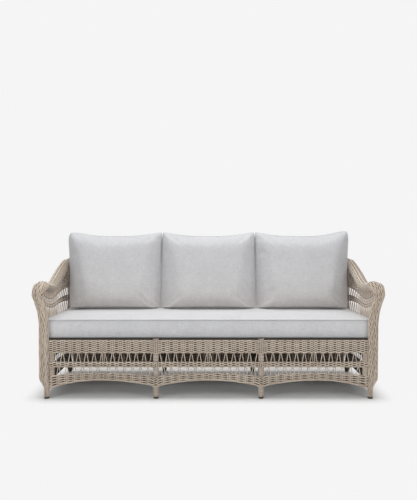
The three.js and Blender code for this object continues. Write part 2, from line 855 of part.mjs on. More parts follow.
// A closed pad over a unit square: rim(u, v) places its points, and the two heights give its skins.
// A boxed pad has a wall between its skins, and the skins of any other meet at a knife edge.
function pad(across, along, rim, upperHeight, lowerHeight, boxed) {
  const points = [];
  const faces = [];
  const skins = [upperHeight, lowerHeight].map((height) => {
    const grid = [];
    for (let i = 0; i <= across; i += 1) {
      grid.push([]);
      for (let j = 0; j <= along; j += 1) {
        const u = (2 * i) / across - 1;
        const v = (2 * j) / along - 1;
        const [x, y] = rim(u, v);
        grid[i].push(points.push([x, y, height(u, v)]) - 1);
      }
    }
    return grid;
  });
  if (!boxed) {
    for (let i = 0; i <= across; i += 1) {
      for (let j = 0; j <= along; j += 1) {
        const onRim = i === 0 || j === 0 || i === across || j === along;
        if (onRim) skins[1][i][j] = skins[0][i][j];
      }
    }
  }
  skins.forEach((grid, k) => {
    for (let i = 0; i < across; i += 1) {
      for (let j = 0; j < along; j += 1) {
        const ring = [grid[i][j], grid[i + 1][j], grid[i + 1][j + 1], grid[i][j + 1]];
        if (k === 1) ring.reverse();
        faces.push([ring[0], ring[1], ring[2]], [ring[0], ring[2], ring[3]]);
      }
    }
  });
  if (boxed) {
    const rimPoints = (grid) => {
      const loop = [];
      for (let i = 0; i < across; i += 1) loop.push(grid[i][0]);
      for (let j = 0; j < along; j += 1) loop.push(grid[across][j]);
      for (let i = across; i > 0; i -= 1) loop.push(grid[i][along]);
      for (let j = along; j > 0; j -= 1) loop.push(grid[0][j]);
      return loop;
    };
    const upper = rimPoints(skins[0]);
    const lower = rimPoints(skins[1]);
    upper.forEach((point, n) => {
      const next = (n + 1) % upper.length;
      faces.push([lower[n], lower[next], upper[next]], [lower[n], upper[next], point]);
    });
  }
  return compacted(points, faces);
}

// Drops points that no face uses.
function compacted(points, faces) {
  const used = new Map();
  const kept = [];
  const renamed = faces.map((face) => face.map((n) => {
    if (!used.has(n)) used.set(n, kept.push(points[n]) - 1);
    return used.get(n);
  }));
  return geometryOf(kept, renamed);
}

const seatCushionBase = railTop + gap + deckThickness + gap;
const seatHalfDepth = (seatCushionBack - seatCushionFront) / 2;
const seatMiddle = seatCushionFront + seatHalfDepth;

const easeDown = (share, power) => 1 - Math.abs(share) ** power;

// Rise of the seat cushion's top over its rim, by the share of its half width and half depth
function seatCrown(a, b) {
  return seatCushionCrown * easeDown(a, seatCrownPowers[0]) * easeDown(b, seatCrownPowers[1]);
}

function seatCushion() {
  const squeeze = (s) => Math.sign(s) * Math.abs(s) ** seatGridEase;
  const rim = (u, v) => {
    const a = squeeze(u);
    const b = squeeze(v);
    return [
      a * (seatCushionHalfWidth - seatCushionPull * easeDown(b, seatPullPowers[1])),
      seatMiddle + b * (seatHalfDepth - seatCushionPull * easeDown(a, seatPullPowers[0])),
    ];
  };
  const upper = (u, v) => seatCushionBase + seatCushionThickness + seatCrown(squeeze(u), squeeze(v));
  const lower = () => seatCushionBase;
  return pad(...seatGrid, rim, upper, lower, true);
}
addPiece('seat_cushion', seatCushion(), seatFabric);

// A back cushion leans back, and its foot slumps forward. It is flat where it stands on the seat.
function backCushion(outerSide) {
  const halfWidth = backCushionWidth / 2;
  const halfHeight = backCushionHeight / 2;
  const ease = (s) => Math.sin((Math.PI / 2) * s);
  const slump = (a, b) => {
    const loss = backSlumpLossShare * (1 - easeDown(a, backCrownPowers[0]));
    return backCushionSlump * ((1 - b) / 2) ** backSlumpPower * (1 - loss);
  };
  const rim = (u, v) => {
    const a = ease(u);
    const b = ease(v);
    const topPull = (backCushionTopPull * (1 + b)) / 2;
    const taper = a * outerSide > 0 ? (backCushionTaper * (1 - b)) / 2 : 0;
    const sidePull = backCushionSidePull * easeDown(b, backCrownPowers[1]);
    const cornerPull = [a, b].map((share) => backCornerPull * Math.abs(share) ** backCornerPower);
    return [
      a * (halfWidth - sidePull - taper - cornerPull[1]),
      b * (halfHeight - cornerPull[0]) - topPull * easeDown(a, backTopPower)
        - slump(a, b) * Math.sin(backCushionTilt),
    ];
  };
  const middleHeight = (u, v) => slump(ease(u), ease(v)) * Math.cos(backCushionTilt);
  const puff = (u, v) => {
    const fall = easeDown(ease(u), backCrownPowers[0]) * easeDown(ease(v), backCrownPowers[1]);
    return (backCushionThickness / 2) * fall ** backPuffPower;
  };
  const front = (u, v) => middleHeight(u, v) + puff(u, v);
  const rear = (u, v) => middleHeight(u, v) - puff(u, v);
  const cushion = pad(...backGrid, rim, front, rear, false);
  cushion.rotateX(Math.PI / 2 - backCushionTilt);
  const position = cushion.getAttribute('position');
  for (let k = 0; k < position.count; k += 1) {
    position.setZ(k, Math.max(position.getZ(k), -backCushionFootDrop));
  }
  return cushion;
}

const backCushionFootDrop = (backCushionHeight / 2) * Math.cos(backCushionTilt) - backCushionSettle;
const backCushionBase = seatCushionBase + seatCushionThickness + seatCushionCrown + gap;
backCushionNames.forEach((name, k) => {
  const cushion = addPiece(`back_cushion_${name}`, backCushion(k - 1), backFabric);
  cushion.position.set(
    (k - 1) * backCushionPitch,
    backCushionDepth,
    backCushionBase + backCushionFootDrop,
  );
});

// The origin is under the middle of the whole sofa, at the floor.
sofa.updateMatrixWorld(true);
const box = new THREE.Box3().setFromObject(sofa, true);
const middle = box.getCenter(new THREE.Vector3());
sofa.position.set(-middle.x, -middle.y, -box.min.z);

export default sofa;
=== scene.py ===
# Looks of a three-seat woven garden sofa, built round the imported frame.
# Metres, +Z up. The front faces -Y, and +X is to the right as seen from the front.
import math

import bpy
import numpy as np
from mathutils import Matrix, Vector


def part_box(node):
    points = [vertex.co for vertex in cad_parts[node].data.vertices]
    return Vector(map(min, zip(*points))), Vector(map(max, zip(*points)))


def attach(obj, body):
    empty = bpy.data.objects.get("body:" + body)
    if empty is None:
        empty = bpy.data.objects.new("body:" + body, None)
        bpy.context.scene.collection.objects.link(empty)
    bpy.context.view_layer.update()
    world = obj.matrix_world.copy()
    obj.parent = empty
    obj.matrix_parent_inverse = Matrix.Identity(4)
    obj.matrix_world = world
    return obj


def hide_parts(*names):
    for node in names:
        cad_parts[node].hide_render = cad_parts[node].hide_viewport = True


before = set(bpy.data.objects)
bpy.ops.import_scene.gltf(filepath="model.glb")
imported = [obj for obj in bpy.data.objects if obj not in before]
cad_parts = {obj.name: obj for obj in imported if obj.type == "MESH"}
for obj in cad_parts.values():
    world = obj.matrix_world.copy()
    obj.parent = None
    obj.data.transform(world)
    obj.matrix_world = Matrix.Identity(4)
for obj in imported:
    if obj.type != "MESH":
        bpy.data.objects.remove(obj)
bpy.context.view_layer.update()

# Places taken from the frame
SKIRT_HALF_THICKNESS = 0.005
SKIRT_DEPTH = 0.013
skirt_low, skirt_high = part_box("front_skirt_middle")
FRONT = skirt_low.y + SKIRT_HALF_THICKNESS - SKIRT_DEPTH
SEAT_LEVEL = skirt_high.z
HEM_BOTTOM_AT_LEG = skirt_low.z
outer_low, outer_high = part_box("front_skirt_right")
HEM_BOTTOM_AT_POST = outer_low.z
REAR_HEM_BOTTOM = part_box("rear_skirt_middle")[0].z
OUTER_BAY_END = outer_high.x
LEG_SEAT = 0.0178
LEG_OFFSET = outer_low.x - LEG_SEAT
OUTER_BAY_START = LEG_OFFSET + LEG_SEAT
MIDDLE_BAY = (-LEG_OFFSET + LEG_SEAT, LEG_OFFSET - LEG_SEAT)
WALL_X = sum(corner.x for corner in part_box("side_skirt_right")) / 2
SIDE_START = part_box("side_skirt_right")[0].y - FRONT
SIDE_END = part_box("side_skirt_right")[1].y - FRONT
WALL_DEPTH = sum(corner.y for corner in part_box("rear_skirt_middle")) / 2 - FRONT
REAR_BAY_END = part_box("rear_skirt_right")[1].x
GLIDE_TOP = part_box("front_post_right")[0].z
POST_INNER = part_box("front_post_right")[0].x

# Skirt: heights of its bands and open rows
BAND_TOP = SEAT_LEVEL - 0.010
BAND_BOTTOM = SEAT_LEVEL - 0.0875
MID_TOP = 0.221
MID_BOTTOM = 0.190
HEM_TOP_AT_LEG = 0.136
HEM_TOP_AT_MIDDLE = 0.154
HEM_BOTTOM_AT_MIDDLE = 0.112
FRONT_HEM_MIDDLE = (HEM_BOTTOM_AT_LEG, HEM_BOTTOM_AT_MIDDLE, HEM_BOTTOM_AT_LEG)
FRONT_HEM_OUTER = (HEM_BOTTOM_AT_LEG, HEM_BOTTOM_AT_MIDDLE, HEM_BOTTOM_AT_POST)
LEVEL_HEM = (REAR_HEM_BOTTOM, REAR_HEM_BOTTOM, REAR_HEM_BOTTOM)
ARCH_FULLNESS = 0.8

# Weave: pairs of stakes, the rows of weavers round them, and the strands themselves
STAKE_PITCH = 0.045
ARM_STAKE_PITCH = 0.060
ARM_CLOSE_PITCH = 0.040
ARM_CLOSE_SHARE = 0.55
ARM_STAKE_WIDTH = 0.0070
ARM_STAKE_THICKNESS = 0.0064
ROW_PITCH = 0.0059
WEAVER_HEIGHT = 0.0062
WEAVER_THICKNESS = 0.0028
WEAVER_SWAY = 0.0034
STAKE_WIDTH = 0.0050
STAKE_THICKNESS = 0.0034
PAIR_HALF = 0.0027
WAVE_FIRMNESS = 2.4
WAVE_BIAS = 0.42
# A sheet behind each band, near black with painted shade on its outer face: it paints the shade seen through
# the weave's gaps
SHADE_SHEET_SHARE = 0.97
SHADE_SHEET_THICKNESS = 0.0012
SHADE_SHEET_TONE = 0.2
# Painted shade on the sides of weavers and stakes, and on the stakes where bands cover them
WEAVER_FLANK = 0.25
STAKE_FLANK = 0.2
STAKE_STEPS = 4
STAKE_WAVE_IN_BAND = 0.5
# Full painted shade on the inner faces of all skirts, which face the dark space under the seat
SKIRT_INNER_SHADE = 1.0
# Painted shadow of the seat cushion's overhang on the top border of every skirt
BORDER_SHADE = 0.5
# Painted light: below 0, the arm walls' inner faces lose nearly all their painted shade, so they look lit
ARM_INNER_SHADE = -0.95
LEAN_SHARE = 0.27
ARM_LEAN_SHARE = 0.4
MIDDLE_STAKE = 0.016
SLIM_STAKE_WIDTH = 0.0042
SLIM_STAKE_HALF = 0.005
EDGE_AT_LEG = 0.0047
EDGE_AT_POST = 0.0345
STRAND_STEP = 0.0075
BORDER_STEP = 0.0055
BORDER_SHIFT = 0.0015
BORDER_RADIUS = 0.0021
BORDER_THICKNESS = 0.0036
BORDER_TWIST = 0.045
TOP_BORDER = {"shift": -0.0026, "radius": 0.0018, "thickness": 0.0044}
HEM_ROPE = {"shift": 0.002, "radius": 0.0032, "thickness": 0.0052, "pitch": 0.036, "count": 3}
JITTER = 0.00025

# Skirts: the swell over the middle legs, the side skirts' sweep, the stake beside each corner post
LEG_BULGE = 0.0175
LEG_BULGE_REACH = 0.042
SIDE_SWEEP = 0.052
SIDE_SWEEP_RUN = 0.120
UPRIGHT_INSET = 0.0165
UPRIGHT_WIDTH = 0.031
UPRIGHT_DEPTH = 0.006
UPRIGHT_LIFT = -0.0048
UPRIGHT_LEVELS = (0.6, 4.8)
UPRIGHT_STATIONS = 8
UPRIGHT_SQUARENESS = 3.0
UPRIGHT_CORE_INSET = 0.001
UPRIGHT_WRAP = {"pitch": 0.0058, "starts": 1, "thickness": 0.002, "lift": 0}

# Walls above the seat: shares of their height at which bands and open rows meet
BACK_LEAN = 0.060
ARM_LEAN = 0.003
ARM_SHARES_AT_FRONT = (0, 0.3, 0.72, 0.79, 0.91, 1)
ARM_SHARES_AT_BACK = (0, 0.22, 0.38, 0.48, 0.62, 1)
BACK_SHARES = (0, 0.27, 0.475, 0.565, 0.775, 1)
WALL_FRONT_TOP = 0.600
WALL_TOP_UNDER = 0.0266
WALL_SETTLE_RUN = 0.05
ARM_STAKE_THINNING = 0.3

# Rolled rail and the post's turn into it
POST_THICKNESS = 0.034
POST_WIDTH = 0.059
FOOT_WIDTH = 0.031
FOOT_TOP = 0.066
FOOT_MIDDLE = 0.6
FLARE_TOP = 0.122
POST_STATIONS = (0.2, 0.28, 0.37)
POST_FLARE_BASE = 0.455
POST_FLARE = 0.038
POST_FLARE_MIDDLE = 0.3
POST_SQUARENESS = 2.8
POST_CORE_INSET = 0.0018
POST_STRANDS = {"count": 32, "thickness": 0.0032, "lift": -0.0012}
ARM_END_HEIGHT = 0.672
TURN_RADIUS = 0.057
TURN_STATIONS = 8
DOME_WIDTH = 0.095
DOME_SHARE = 0.75
ROLL_HALF_WIDTH = 0.035
ROLL_HALF_HEIGHT = 0.026
ROLL_SQUARENESS = 2.2
ROLL_CORNER = 0.060
CORNER_STATIONS = 6
BACK_STATIONS = 17
ROLL_X = WALL_X + ARM_LEAN
ROLL_DEPTH = WALL_DEPTH + BACK_LEAN
ARM_DIP = 0.030
ARM_RISE = 0.127
ARM_STATIONS = (0, 0.117, 0.224, 0.332, 0.47, 0.608, 0.773, 0.885, 1)
ARM_DIP_SHARES = (1, 0.4, 0.03, 0)
ARM_RISE_SHARES = (0.189, 0.441, 0.7, 0.858, 1)
CORNER_RISE = 0.012
BACK_RISE = 0.040
ROLL_WRAP = {"pitch": 0.0059, "starts": 6, "thickness": 0.0030, "lift": -0.0006, "ridges": True}
ROLL_CORE_INSET = 0.0016
CORD_TURNS = (0.26, 0.35)
CORD_STEP = 0.006
CORD_TWIST = 0.03
CORD_WIDTH = 0.005
CORD_THICKNESS = 0.0043
CORD_LIFT = 0.0022
CORD_RISE = 0.0012
CORD_SWAY = 0.0075
CORD_TONE = 0.95
FLANK_TURNS = (0.385, 0.80)
FLANK_BEAT = 0.036
FLANK_SWAY = 0.0014
FLANK_LIFT = 0.0010
FLANK_JITTER = 0.0002
# A raised tone and a smaller share of painted shade, which paint light on the rail's shaded woven inner side
FLANK_TONE = 0.8
FLANK_WAVE_SHARE = 0.65

# Legs and rear posts
LEG_DEPTH = 0.018
LEG_RADIUS = 0.0175
FRONT_LEG_STATIONS = 6
REAR_POST_STATIONS = 5
LEAN_STATIONS = (0.25, 0.5, 0.75, 1)
LEG_CORE_INSET = 0.0014
LEG_WRAP = {"pitch": 0.0062, "starts": 1, "thickness": 0.0024, "lift": -0.0011}
CORNER_RADIUS = 0.019
CORNER_INSET = 0.0146

# Back cushions' height, which their cloth's tints follow
BACK_HEIGHT = 0.560

# Photograph's camera
CAMERA_DISTANCE = 3.7
CAMERA_HEIGHT = 1.039
CAMERA_LENS = 45.08
CAMERA_SENSOR = 36
CAMERA_PITCH = math.radians(2.287)

SIDES = (("left", -1), ("right", 1))


def row_point(x, depth, z):
    """Points in the frame, from depths counted back from the front of the sofa."""
    x, depth, z = np.broadcast_arrays(x, depth, z)
    return np.stack([x, depth + FRONT, z], axis=-1).astype(float)


def unit(vectors):
    return vectors / np.maximum(np.linalg.norm(vectors, axis=-1, keepdims=True), 1e-12)


# Materials

NOISE_ROUGHNESS = 0.55
RATTAN_DARKNESS = 0.45
THREAD_PITCH = 0.0016
STRAP_PITCH = 0.05
WHITE = (1, 1, 1)
EVEN_TINT = [(0.0, WHITE), (1.0, WHITE)]
# Painted warm reflected light at the foot of the back cushions, a touch cooler at the top
BOUNCE_LIGHT_TINT = [
    (0.04, (0.985, 0.94, 0.89)), (0.3, (1, 0.99, 0.975)), (0.6, WHITE), (1.0, (0.99, 0.995, 1)),
]


def new_material(name, roughness):
    material = bpy.data.materials.new(name)
    material.use_nodes = True
    shader = material.node_tree.nodes["Principled BSDF"]
    shader.inputs["Roughness"].default_value = roughness
    return material, material.node_tree, shader


def add_node(tree, kind, inputs=(), **settings):
    node = tree.nodes.new(kind)
    for name, value in settings.items():
        setattr(node, name, value)
    for name, value in dict(inputs).items():
        if isinstance(value, bpy.types.NodeSocket):
            tree.links.new(value, node.inputs[name])
        else:
            node.inputs[name].default_value = value
    return node


def ramp(tree, factor, stops):
    node = add_node(tree, "ShaderNodeValToRGB", {"Fac": factor})
    elements = node.color_ramp.elements
    while len(elements) < len(stops):
        elements.new(0.5)
    for element, (place, colour) in zip(elements, stops):
        element.position = place
        element.color = (*colour, 1)
    return node.outputs["Color"]


def maths(tree, operation, *values, kind="ShaderNodeMath"):
    return add_node(tree, kind, dict(enumerate(values)), operation=operation).outputs[0]


def vector_maths(tree, operation, *values):
    return maths(tree, operation, *values, kind="ShaderNodeVectorMath")


def ranged(tree, value, limits, ends=(0, 1), interpolation="LINEAR"):
    """A value that runs between its ends as the input runs between its limits."""
    names = ("Value", "From Min", "From Max", "To Min", "To Max")
    inputs = dict(zip(names, (value, *limits, *ends)))
    return add_node(tree, "ShaderNodeMapRange", inputs, interpolation_type=interpolation).outputs["Result"]


def noise(tree, vector, scale, detail):
    """Noise over a vector that is first scaled by axis."""
    scaled = vector_maths(tree, "MULTIPLY", vector, scale)
    inputs = {"Vector": scaled, "Scale": 1.0, "Detail": detail, "Roughness": NOISE_ROUGHNESS}
    return add_node(tree, "ShaderNodeTexNoise", inputs).outputs["Fac"]


def attribute(tree, name, output):
    return add_node(tree, "ShaderNodeAttribute", attribute_name=name).outputs[output]


def object_place(tree):
    return add_node(tree, "ShaderNodeTexCoord").outputs["Object"]


def axes_of(tree, vector):
    return add_node(tree, "ShaderNodeSeparateXYZ", {0: vector}).outputs


def crossed_waves(tree, axes, pitch):
    """The product of a wave along X and a wave along Y."""
    waves = []
    for axis in ("X", "Y"):
        waves.append(maths(tree, "SINE", maths(tree, "MULTIPLY", axes[axis], 2 * math.pi / pitch)))
    return maths(tree, "MULTIPLY", *waves)


def finish_shader(tree, shader, colour, height, strength, distance):
    """Gives the shader its colour, and bumps of a strength and a depth in metres."""
    tree.links.new(colour, shader.inputs["Base Color"])
    bump = add_node(tree, "ShaderNodeBump", {"Height": height, "Strength": strength, "Distance": distance})
    tree.links.new(bump.outputs["Normal"], shader.inputs["Normal"])


def mixed(tree, factor, a, b, blend="MIX"):
    node = add_node(tree, "ShaderNodeMix", data_type="RGBA", blend_type=blend)
    for socket, value in ((node.inputs[0], factor), (node.inputs[6], a), (node.inputs[7], b)):
        if isinstance(value, bpy.types.NodeSocket):
            tree.links.new(value, socket)
        else:
            socket.default_value = value
    return node.outputs[2]


def rattan_material(name, dark, middle, light):
    """Washed synthetic rattan: streaks run along each strand, and no two strands have quite one tone. A
    point attribute of painted shade darkens the colour towards near black where shade falls among the
    strands.
    """
    material, tree, shader = new_material(name, 0.62)
    lay = attribute(tree, "lay", "Vector")
    streaks = noise(tree, lay, (16, 2.6, 900), 3.0)
    speckle = noise(tree, lay, (110, 9, 700), 2.0)
    patches = noise(tree, object_place(tree), (5, 5, 5), 2.0)
    tone = axes_of(tree, lay)["Z"]
    shade = -RATTAN_DARKNESS
    for value, weight in ((streaks, 0.8), (speckle, 0.3), (patches, 0.3), (tone, 0.5)):
        shade = maths(tree, "MULTIPLY_ADD", value, weight, shade)
    colour = ramp(tree, shade, [(0.12, dark), (0.5, middle), (0.88, light)])
    # Painted shade: the colour is darkened towards near black by the painted shade each point carries
    shade_darkening = ramp(tree, attribute(tree, "painted_shade", "Fac"), [(0.22, WHITE), (0.9, (0.12, 0.10, 0.085))])
    rough = ranged(tree, streaks, (0, 1), (0.5, 0.78))
    tree.links.new(rough, shader.inputs["Roughness"])
    grooves = noise(tree, lay, (60, 12, 500), 2.0)
    finish_shader(tree, shader, mixed(tree, 1.0, colour, shade_darkening, "MULTIPLY"), grooves, 0.5, 0.0006)
    return material


def fabric_material(name, dark, light, tints):
    """Outdoor cloth: a plain weave in two shades of yarn, with soft uneven tone. tints are its tints from a
    back cushion's foot to its top, where a warm tint at the foot is painted reflected light."""
    material, tree, shader = new_material(name, 0.85)
    lay = attribute(tree, "lay", "Vector")
    axes = axes_of(tree, lay)
    crossing = crossed_waves(tree, axes, THREAD_PITCH)
    yarns = maths(tree, "ADD", noise(tree, lay, (260, 40, 1), 2.0), noise(tree, lay, (40, 260, 1), 2.0))
    woven = maths(tree, "MULTIPLY_ADD", crossing, 0.08, yarns)
    cloth = ramp(tree, ranged(tree, woven, (0.62, 1.38)), [(0.0, dark), (1.0, light)])
    wear = noise(tree, object_place(tree), (7, 7, 7), 3.0)
    wear = ramp(tree, wear, [(0.3, (0.94, 0.94, 0.945)), (0.7, WHITE)])
    height = ranged(tree, axes["Y"], (-BACK_HEIGHT / 2, BACK_HEIGHT / 2))
    colour = mixed(tree, 1.0, cloth, wear, "MULTIPLY")
    colour = mixed(tree, 1.0, colour, ramp(tree, height, tints), "MULTIPLY")
    finish_shader(tree, shader, colour, woven, 0.35, 0.0008)
    shader.inputs["Sheen Weight"].default_value = 0.25
    shader.inputs["Sheen Roughness"].default_value = 0.5
    return material


def metal_material():
    """Powder-coated tube with a fine orange-peel surface. Its coat is near black so that the frame under the
    seat and the gap below the seat cushion look dark: painted shade.
    """
    material, tree, shader = new_material("coated_tube", 0.45)
    place = object_place(tree)
    patches = noise(tree, place, (12, 12, 12), 3.0)
    colour = ramp(tree, patches, [(0.3, (0.040, 0.035, 0.030)), (0.7, (0.062, 0.055, 0.048))])
    finish_shader(tree, shader, colour, noise(tree, place, (900, 900, 900), 2.0), 0.2, 0.0003)
    shader.inputs["Metallic"].default_value = 0.3
    return material


def glide_material():
    """Dark moulded plastic, scuffed where it meets the floor."""
    material, tree, shader = new_material("glide_plastic", 0.6)
    place = object_place(tree)
    scuffs = noise(tree, place, (160, 160, 400), 4.0)
    near_floor = ranged(tree, axes_of(tree, place)["Z"], (0.0, 0.009))
    base = ramp(tree, scuffs, [(0.35, (0.028, 0.024, 0.021)), (0.75, (0.06, 0.053, 0.047))])
    dusty = ramp(tree, scuffs, [(0.35, (0.05, 0.045, 0.04)), (0.75, (0.14, 0.125, 0.11))])
    finish_shader(tree, shader, mixed(tree, near_floor, dusty, base), scuffs, 0.3, 0.0004)
    return material


def deck_material():
    """Flat woven straps under the seat cushion, near black so that the space under the seat looks dark:
    painted shade.
    """
    material, tree, shader = new_material("deck_straps", 0.7)
    crossing = crossed_waves(tree, axes_of(tree, object_place(tree)), STRAP_PITCH)
    shade = ranged(tree, crossing, (-1, 1))
    colour = ramp(tree, shade, [(0.0, (0.030, 0.027, 0.024)), (1.0, (0.060, 0.054, 0.048))])
    finish_shader(tree, shader, colour, crossing, 0.6, 0.002)
    return material


RATTAN = rattan_material("rattan", (0.33, 0.26, 0.20), (0.62, 0.52, 0.42), (0.84, 0.76, 0.645))
# Lighter copies of the rattan, which paint light on parts that get little of it: the arm rails and front
# legs, and the arm walls still more
PAINTED_LIGHT_RATTAN = rattan_material("painted_light_rattan", (0.40, 0.31, 0.24), (0.66, 0.55, 0.455), (0.84, 0.76, 0.65))
PAINTED_WARM_LIGHT_RATTAN = rattan_material("painted_warm_light_rattan", (0.52, 0.41, 0.33), (0.80, 0.68, 0.57), (0.92, 0.83, 0.73))
# The seat and back cushions share one cloth; these are a lighter and a darker copy of it, set to each
# cushion's brightness: painted light and shade
SEAT_FABRIC = fabric_material("seat_fabric", (0.58, 0.58, 0.59), (0.72, 0.722, 0.738), EVEN_TINT)
BACK_FABRIC = fabric_material("back_fabric", (0.52, 0.52, 0.53), (0.65, 0.65, 0.665), BOUNCE_LIGHT_TINT)
# A darker copy of the seat's cloth for its piping: painted shade along its edges
SHADED_PIPING_FABRIC = fabric_material("shaded_piping_fabric", (0.44, 0.44, 0.45), (0.54, 0.54, 0.55), EVEN_TINT)
METAL = metal_material()
GLIDE = glide_material()
DECK = deck_material()


# Strands

BAKE_MAP = "OFBake"
CAP_GAP = 0.2
SHORTEST_ROW = 0.05
ROW_END_ROOM = 0.02
ROW_MARGIN = 0.04
TONE_SPREAD = 0.5
# Painted shade on posts' sides that face the dark space under the seat
UNDER_SEAT_PAINTED_SHADE = 0.9
FORM_STEP = 0.004
FORM_SAMPLES = 48
OUTLINE_STEPS = 240
STATION_STEPS = 24
CORE_ROWS = 3
CORE_TONE = 0.1
WRAP_FILL = 0.88
WRAP_STEPS_A_TURN = 20
WRAP_WOBBLE = 0.06
WRAP_WOBBLE_RATE = 2.1
RIDGE_SHARE = 0.4
LENGTHWISE_FILL = 0.92
LENGTHWISE_STEP = 0.007
LENGTHWISE_WAVER = 0.36
LENGTHWISE_WAVE_RUN = 0.75
LENGTHWISE_PACE = 9
LENGTHWISE_PACE_SPREAD = 6
LENGTHWISE_RIPPLE = 0.0006
LENGTHWISE_RIPPLE_RATE = 9


def end_fan(sides):
    """The squares that close a strand's end, as numbers of the points round it."""
    return np.array([[0, 2 * j + 1, 2 * j + 2, 2 * j + 3] for j in range((sides - 2) // 2)])


class Strands:
    """Strands gathered into one mesh. Their point attribute lay holds the run along the strand, the share of
    the way round it and its tone, and a second point attribute holds painted shade, from 0 to 1, which
    darkens a point's colour where it lies deep among its neighbours or faces the dark inside. Their map lays
    the strands out in rows, one after another."""

    def __init__(self, seed):
        self.random = np.random.default_rng(seed)
        self.points, self.quads, self.lay, self.painted_shade = [], [], [], []
        self.corners, self.girth = [], []
        self.count = 0
        self.run = 0.0

    def add_rings(self, rings, tone, painted_shade):
        """Skins rings of points, each with the same even count, and closes both ends. Where no tone is
        given, it is drawn."""
        count, sides = rings.shape[:2]
        steps = np.linalg.norm(np.diff(rings.mean(axis=1), axis=0), axis=1)
        along = np.concatenate([[0.0], np.cumsum(steps)])
        if tone is None:
            tone = 0.5 + TONE_SPREAD * (self.random.random() - 0.5)
        shift = self.random.random() * 10
        lay = np.empty((count, sides, 3))
        lay[..., 0] = (along + shift)[:, None]
        lay[..., 1] = np.arange(sides) / (sides - 1)
        lay[..., 2] = tone
        k = np.arange(sides)
        after = (k + 1) % sides
        i = np.arange(count - 1)[:, None] * sides
        quads = np.stack([i + k, i + sides + k, i + sides + after, i + after], axis=-1).reshape(-1, 4)
        fan = end_fan(sides)
        end = (count - 1) * sides
        self.quads += [quads + self.count, fan + self.count, fan[:, ::-1] + end + self.count]
        self.points.append(rings.reshape(-1, 3))
        self.lay.append(lay.reshape(-1, 3))
        self.painted_shade.append(np.broadcast_to(painted_shade, (count, sides)).ravel())
        self.count += count * sides
        girth = np.linalg.norm(rings[0] - np.roll(rings[0], 1, axis=0), axis=1).sum()
        self.map_strand(self.run + along, girth, sides)

    def map_strand(self, along, girth, sides):
        """Lays a strand's skin and then its two ends out on the map."""
        k = np.arange(sides)
        shares = (along[:-1, None], along[1:, None], k / sides, (k + 1) / sides)
        low, high, v0, v1 = np.broadcast_arrays(*shares)
        corners = np.stack([low, v0, high, v0, high, v1, low, v1], -1).reshape(-1, 4, 2)
        turn = 2 * np.pi * end_fan(sides) / sides
        spread = np.stack([0.5 + 0.5 * np.cos(turn), 0.5 + 0.45 * np.sin(turn)], -1)
        cap = girth / math.pi
        first = spread * (cap, 1) + (along[-1] + cap * CAP_GAP, 0)
        last = first + (cap * (1 + CAP_GAP), 0)
        self.corners += [corners, first, last[:, ::-1]]
        self.girth.append((girth, along[-1] - along[0]))
        self.run = along[-1] + cap * (2 + 3 * CAP_GAP)

    def add(self, path, normal, width, thickness, sides=6, tone=None, wave=None, flank=0.6, inner_shade=0.0):
        """One strand along a path. normal is the way its flat side faces. wave says where it passes over,
        with 1, and under, with -1, and the parts that pass under get painted shade. flank is how much
        painted shade its sides get, and inner_shade how much painted shade its inner side gets, or below 0
        how much of that side's painted shade is taken away, which paints light."""
        path = np.asarray(path, float)
        along = unit(np.gradient(path, axis=0))
        normal = np.broadcast_to(normal, path.shape)
        normal = unit(normal - along * (normal * along).sum(-1, keepdims=True))
        side = np.cross(along, normal)
        angle = 2 * np.pi * (np.arange(sides) + 0.5) / sides - np.pi / 2
        width = np.broadcast_to(width, len(path))[:, None, None] / 2
        thickness = np.broadcast_to(thickness, len(path))[:, None, None] / 2
        rings = (
            path[:, None]
            + side[:, None] * np.cos(angle)[None, :, None] * width
            + normal[:, None] * np.sin(angle)[None, :, None] * thickness
        )
        facing = np.sin(angle)[None]
        if wave is None:
            painted_shade = np.broadcast_to(flank * (1 - np.maximum(facing, 0)), rings.shape[:2])
        else:
            painted_shade = 0.5 - 0.5 * wave[:, None] * facing + flank * (1 - np.abs(facing))
            if inner_shade < 0:
                painted_shade = np.where(facing < 0, painted_shade * (1 + inner_shade), painted_shade)
            painted_shade = np.maximum(painted_shade, inner_shade * (facing < 0))
        self.add_rings(rings, tone, np.clip(painted_shade, 0, 1))

    def shade(self, is_hidden):
        """Paints shade into the colour of the points for which is_hidden holds, on sides that face the dark
        space under the seat.
        """
        for k, points in enumerate(self.points):
            self.painted_shade[k] = np.maximum(self.painted_shade[k], UNDER_SEAT_PAINTED_SHADE * is_hidden(points))

    def build(self, name, material):
        points = np.concatenate(self.points)
        quads = np.concatenate(self.quads).astype(np.int32)
        corners = np.concatenate(self.corners)
        girth, length = np.array(self.girth).T
        row_height = (girth * length).sum() / length.sum()
        row_length = max(math.sqrt(self.run * row_height), SHORTEST_ROW)
        start = corners[..., 0].min(axis=1, keepdims=True)
        row = np.floor(start / row_length)
        rows = row.max() + 1
        room = 1.02 * row_length + ROW_END_ROOM
        corners[..., 0] = (corners[..., 0] - row * row_length) / room
        corners[..., 1] = (row + ROW_MARGIN + (1 - 2 * ROW_MARGIN) * corners[..., 1]) / rows
        lay, painted_shade = np.concatenate(self.lay), np.concatenate(self.painted_shade)
        return mesh_object(name, points, quads, material, lay, painted_shade, corners)


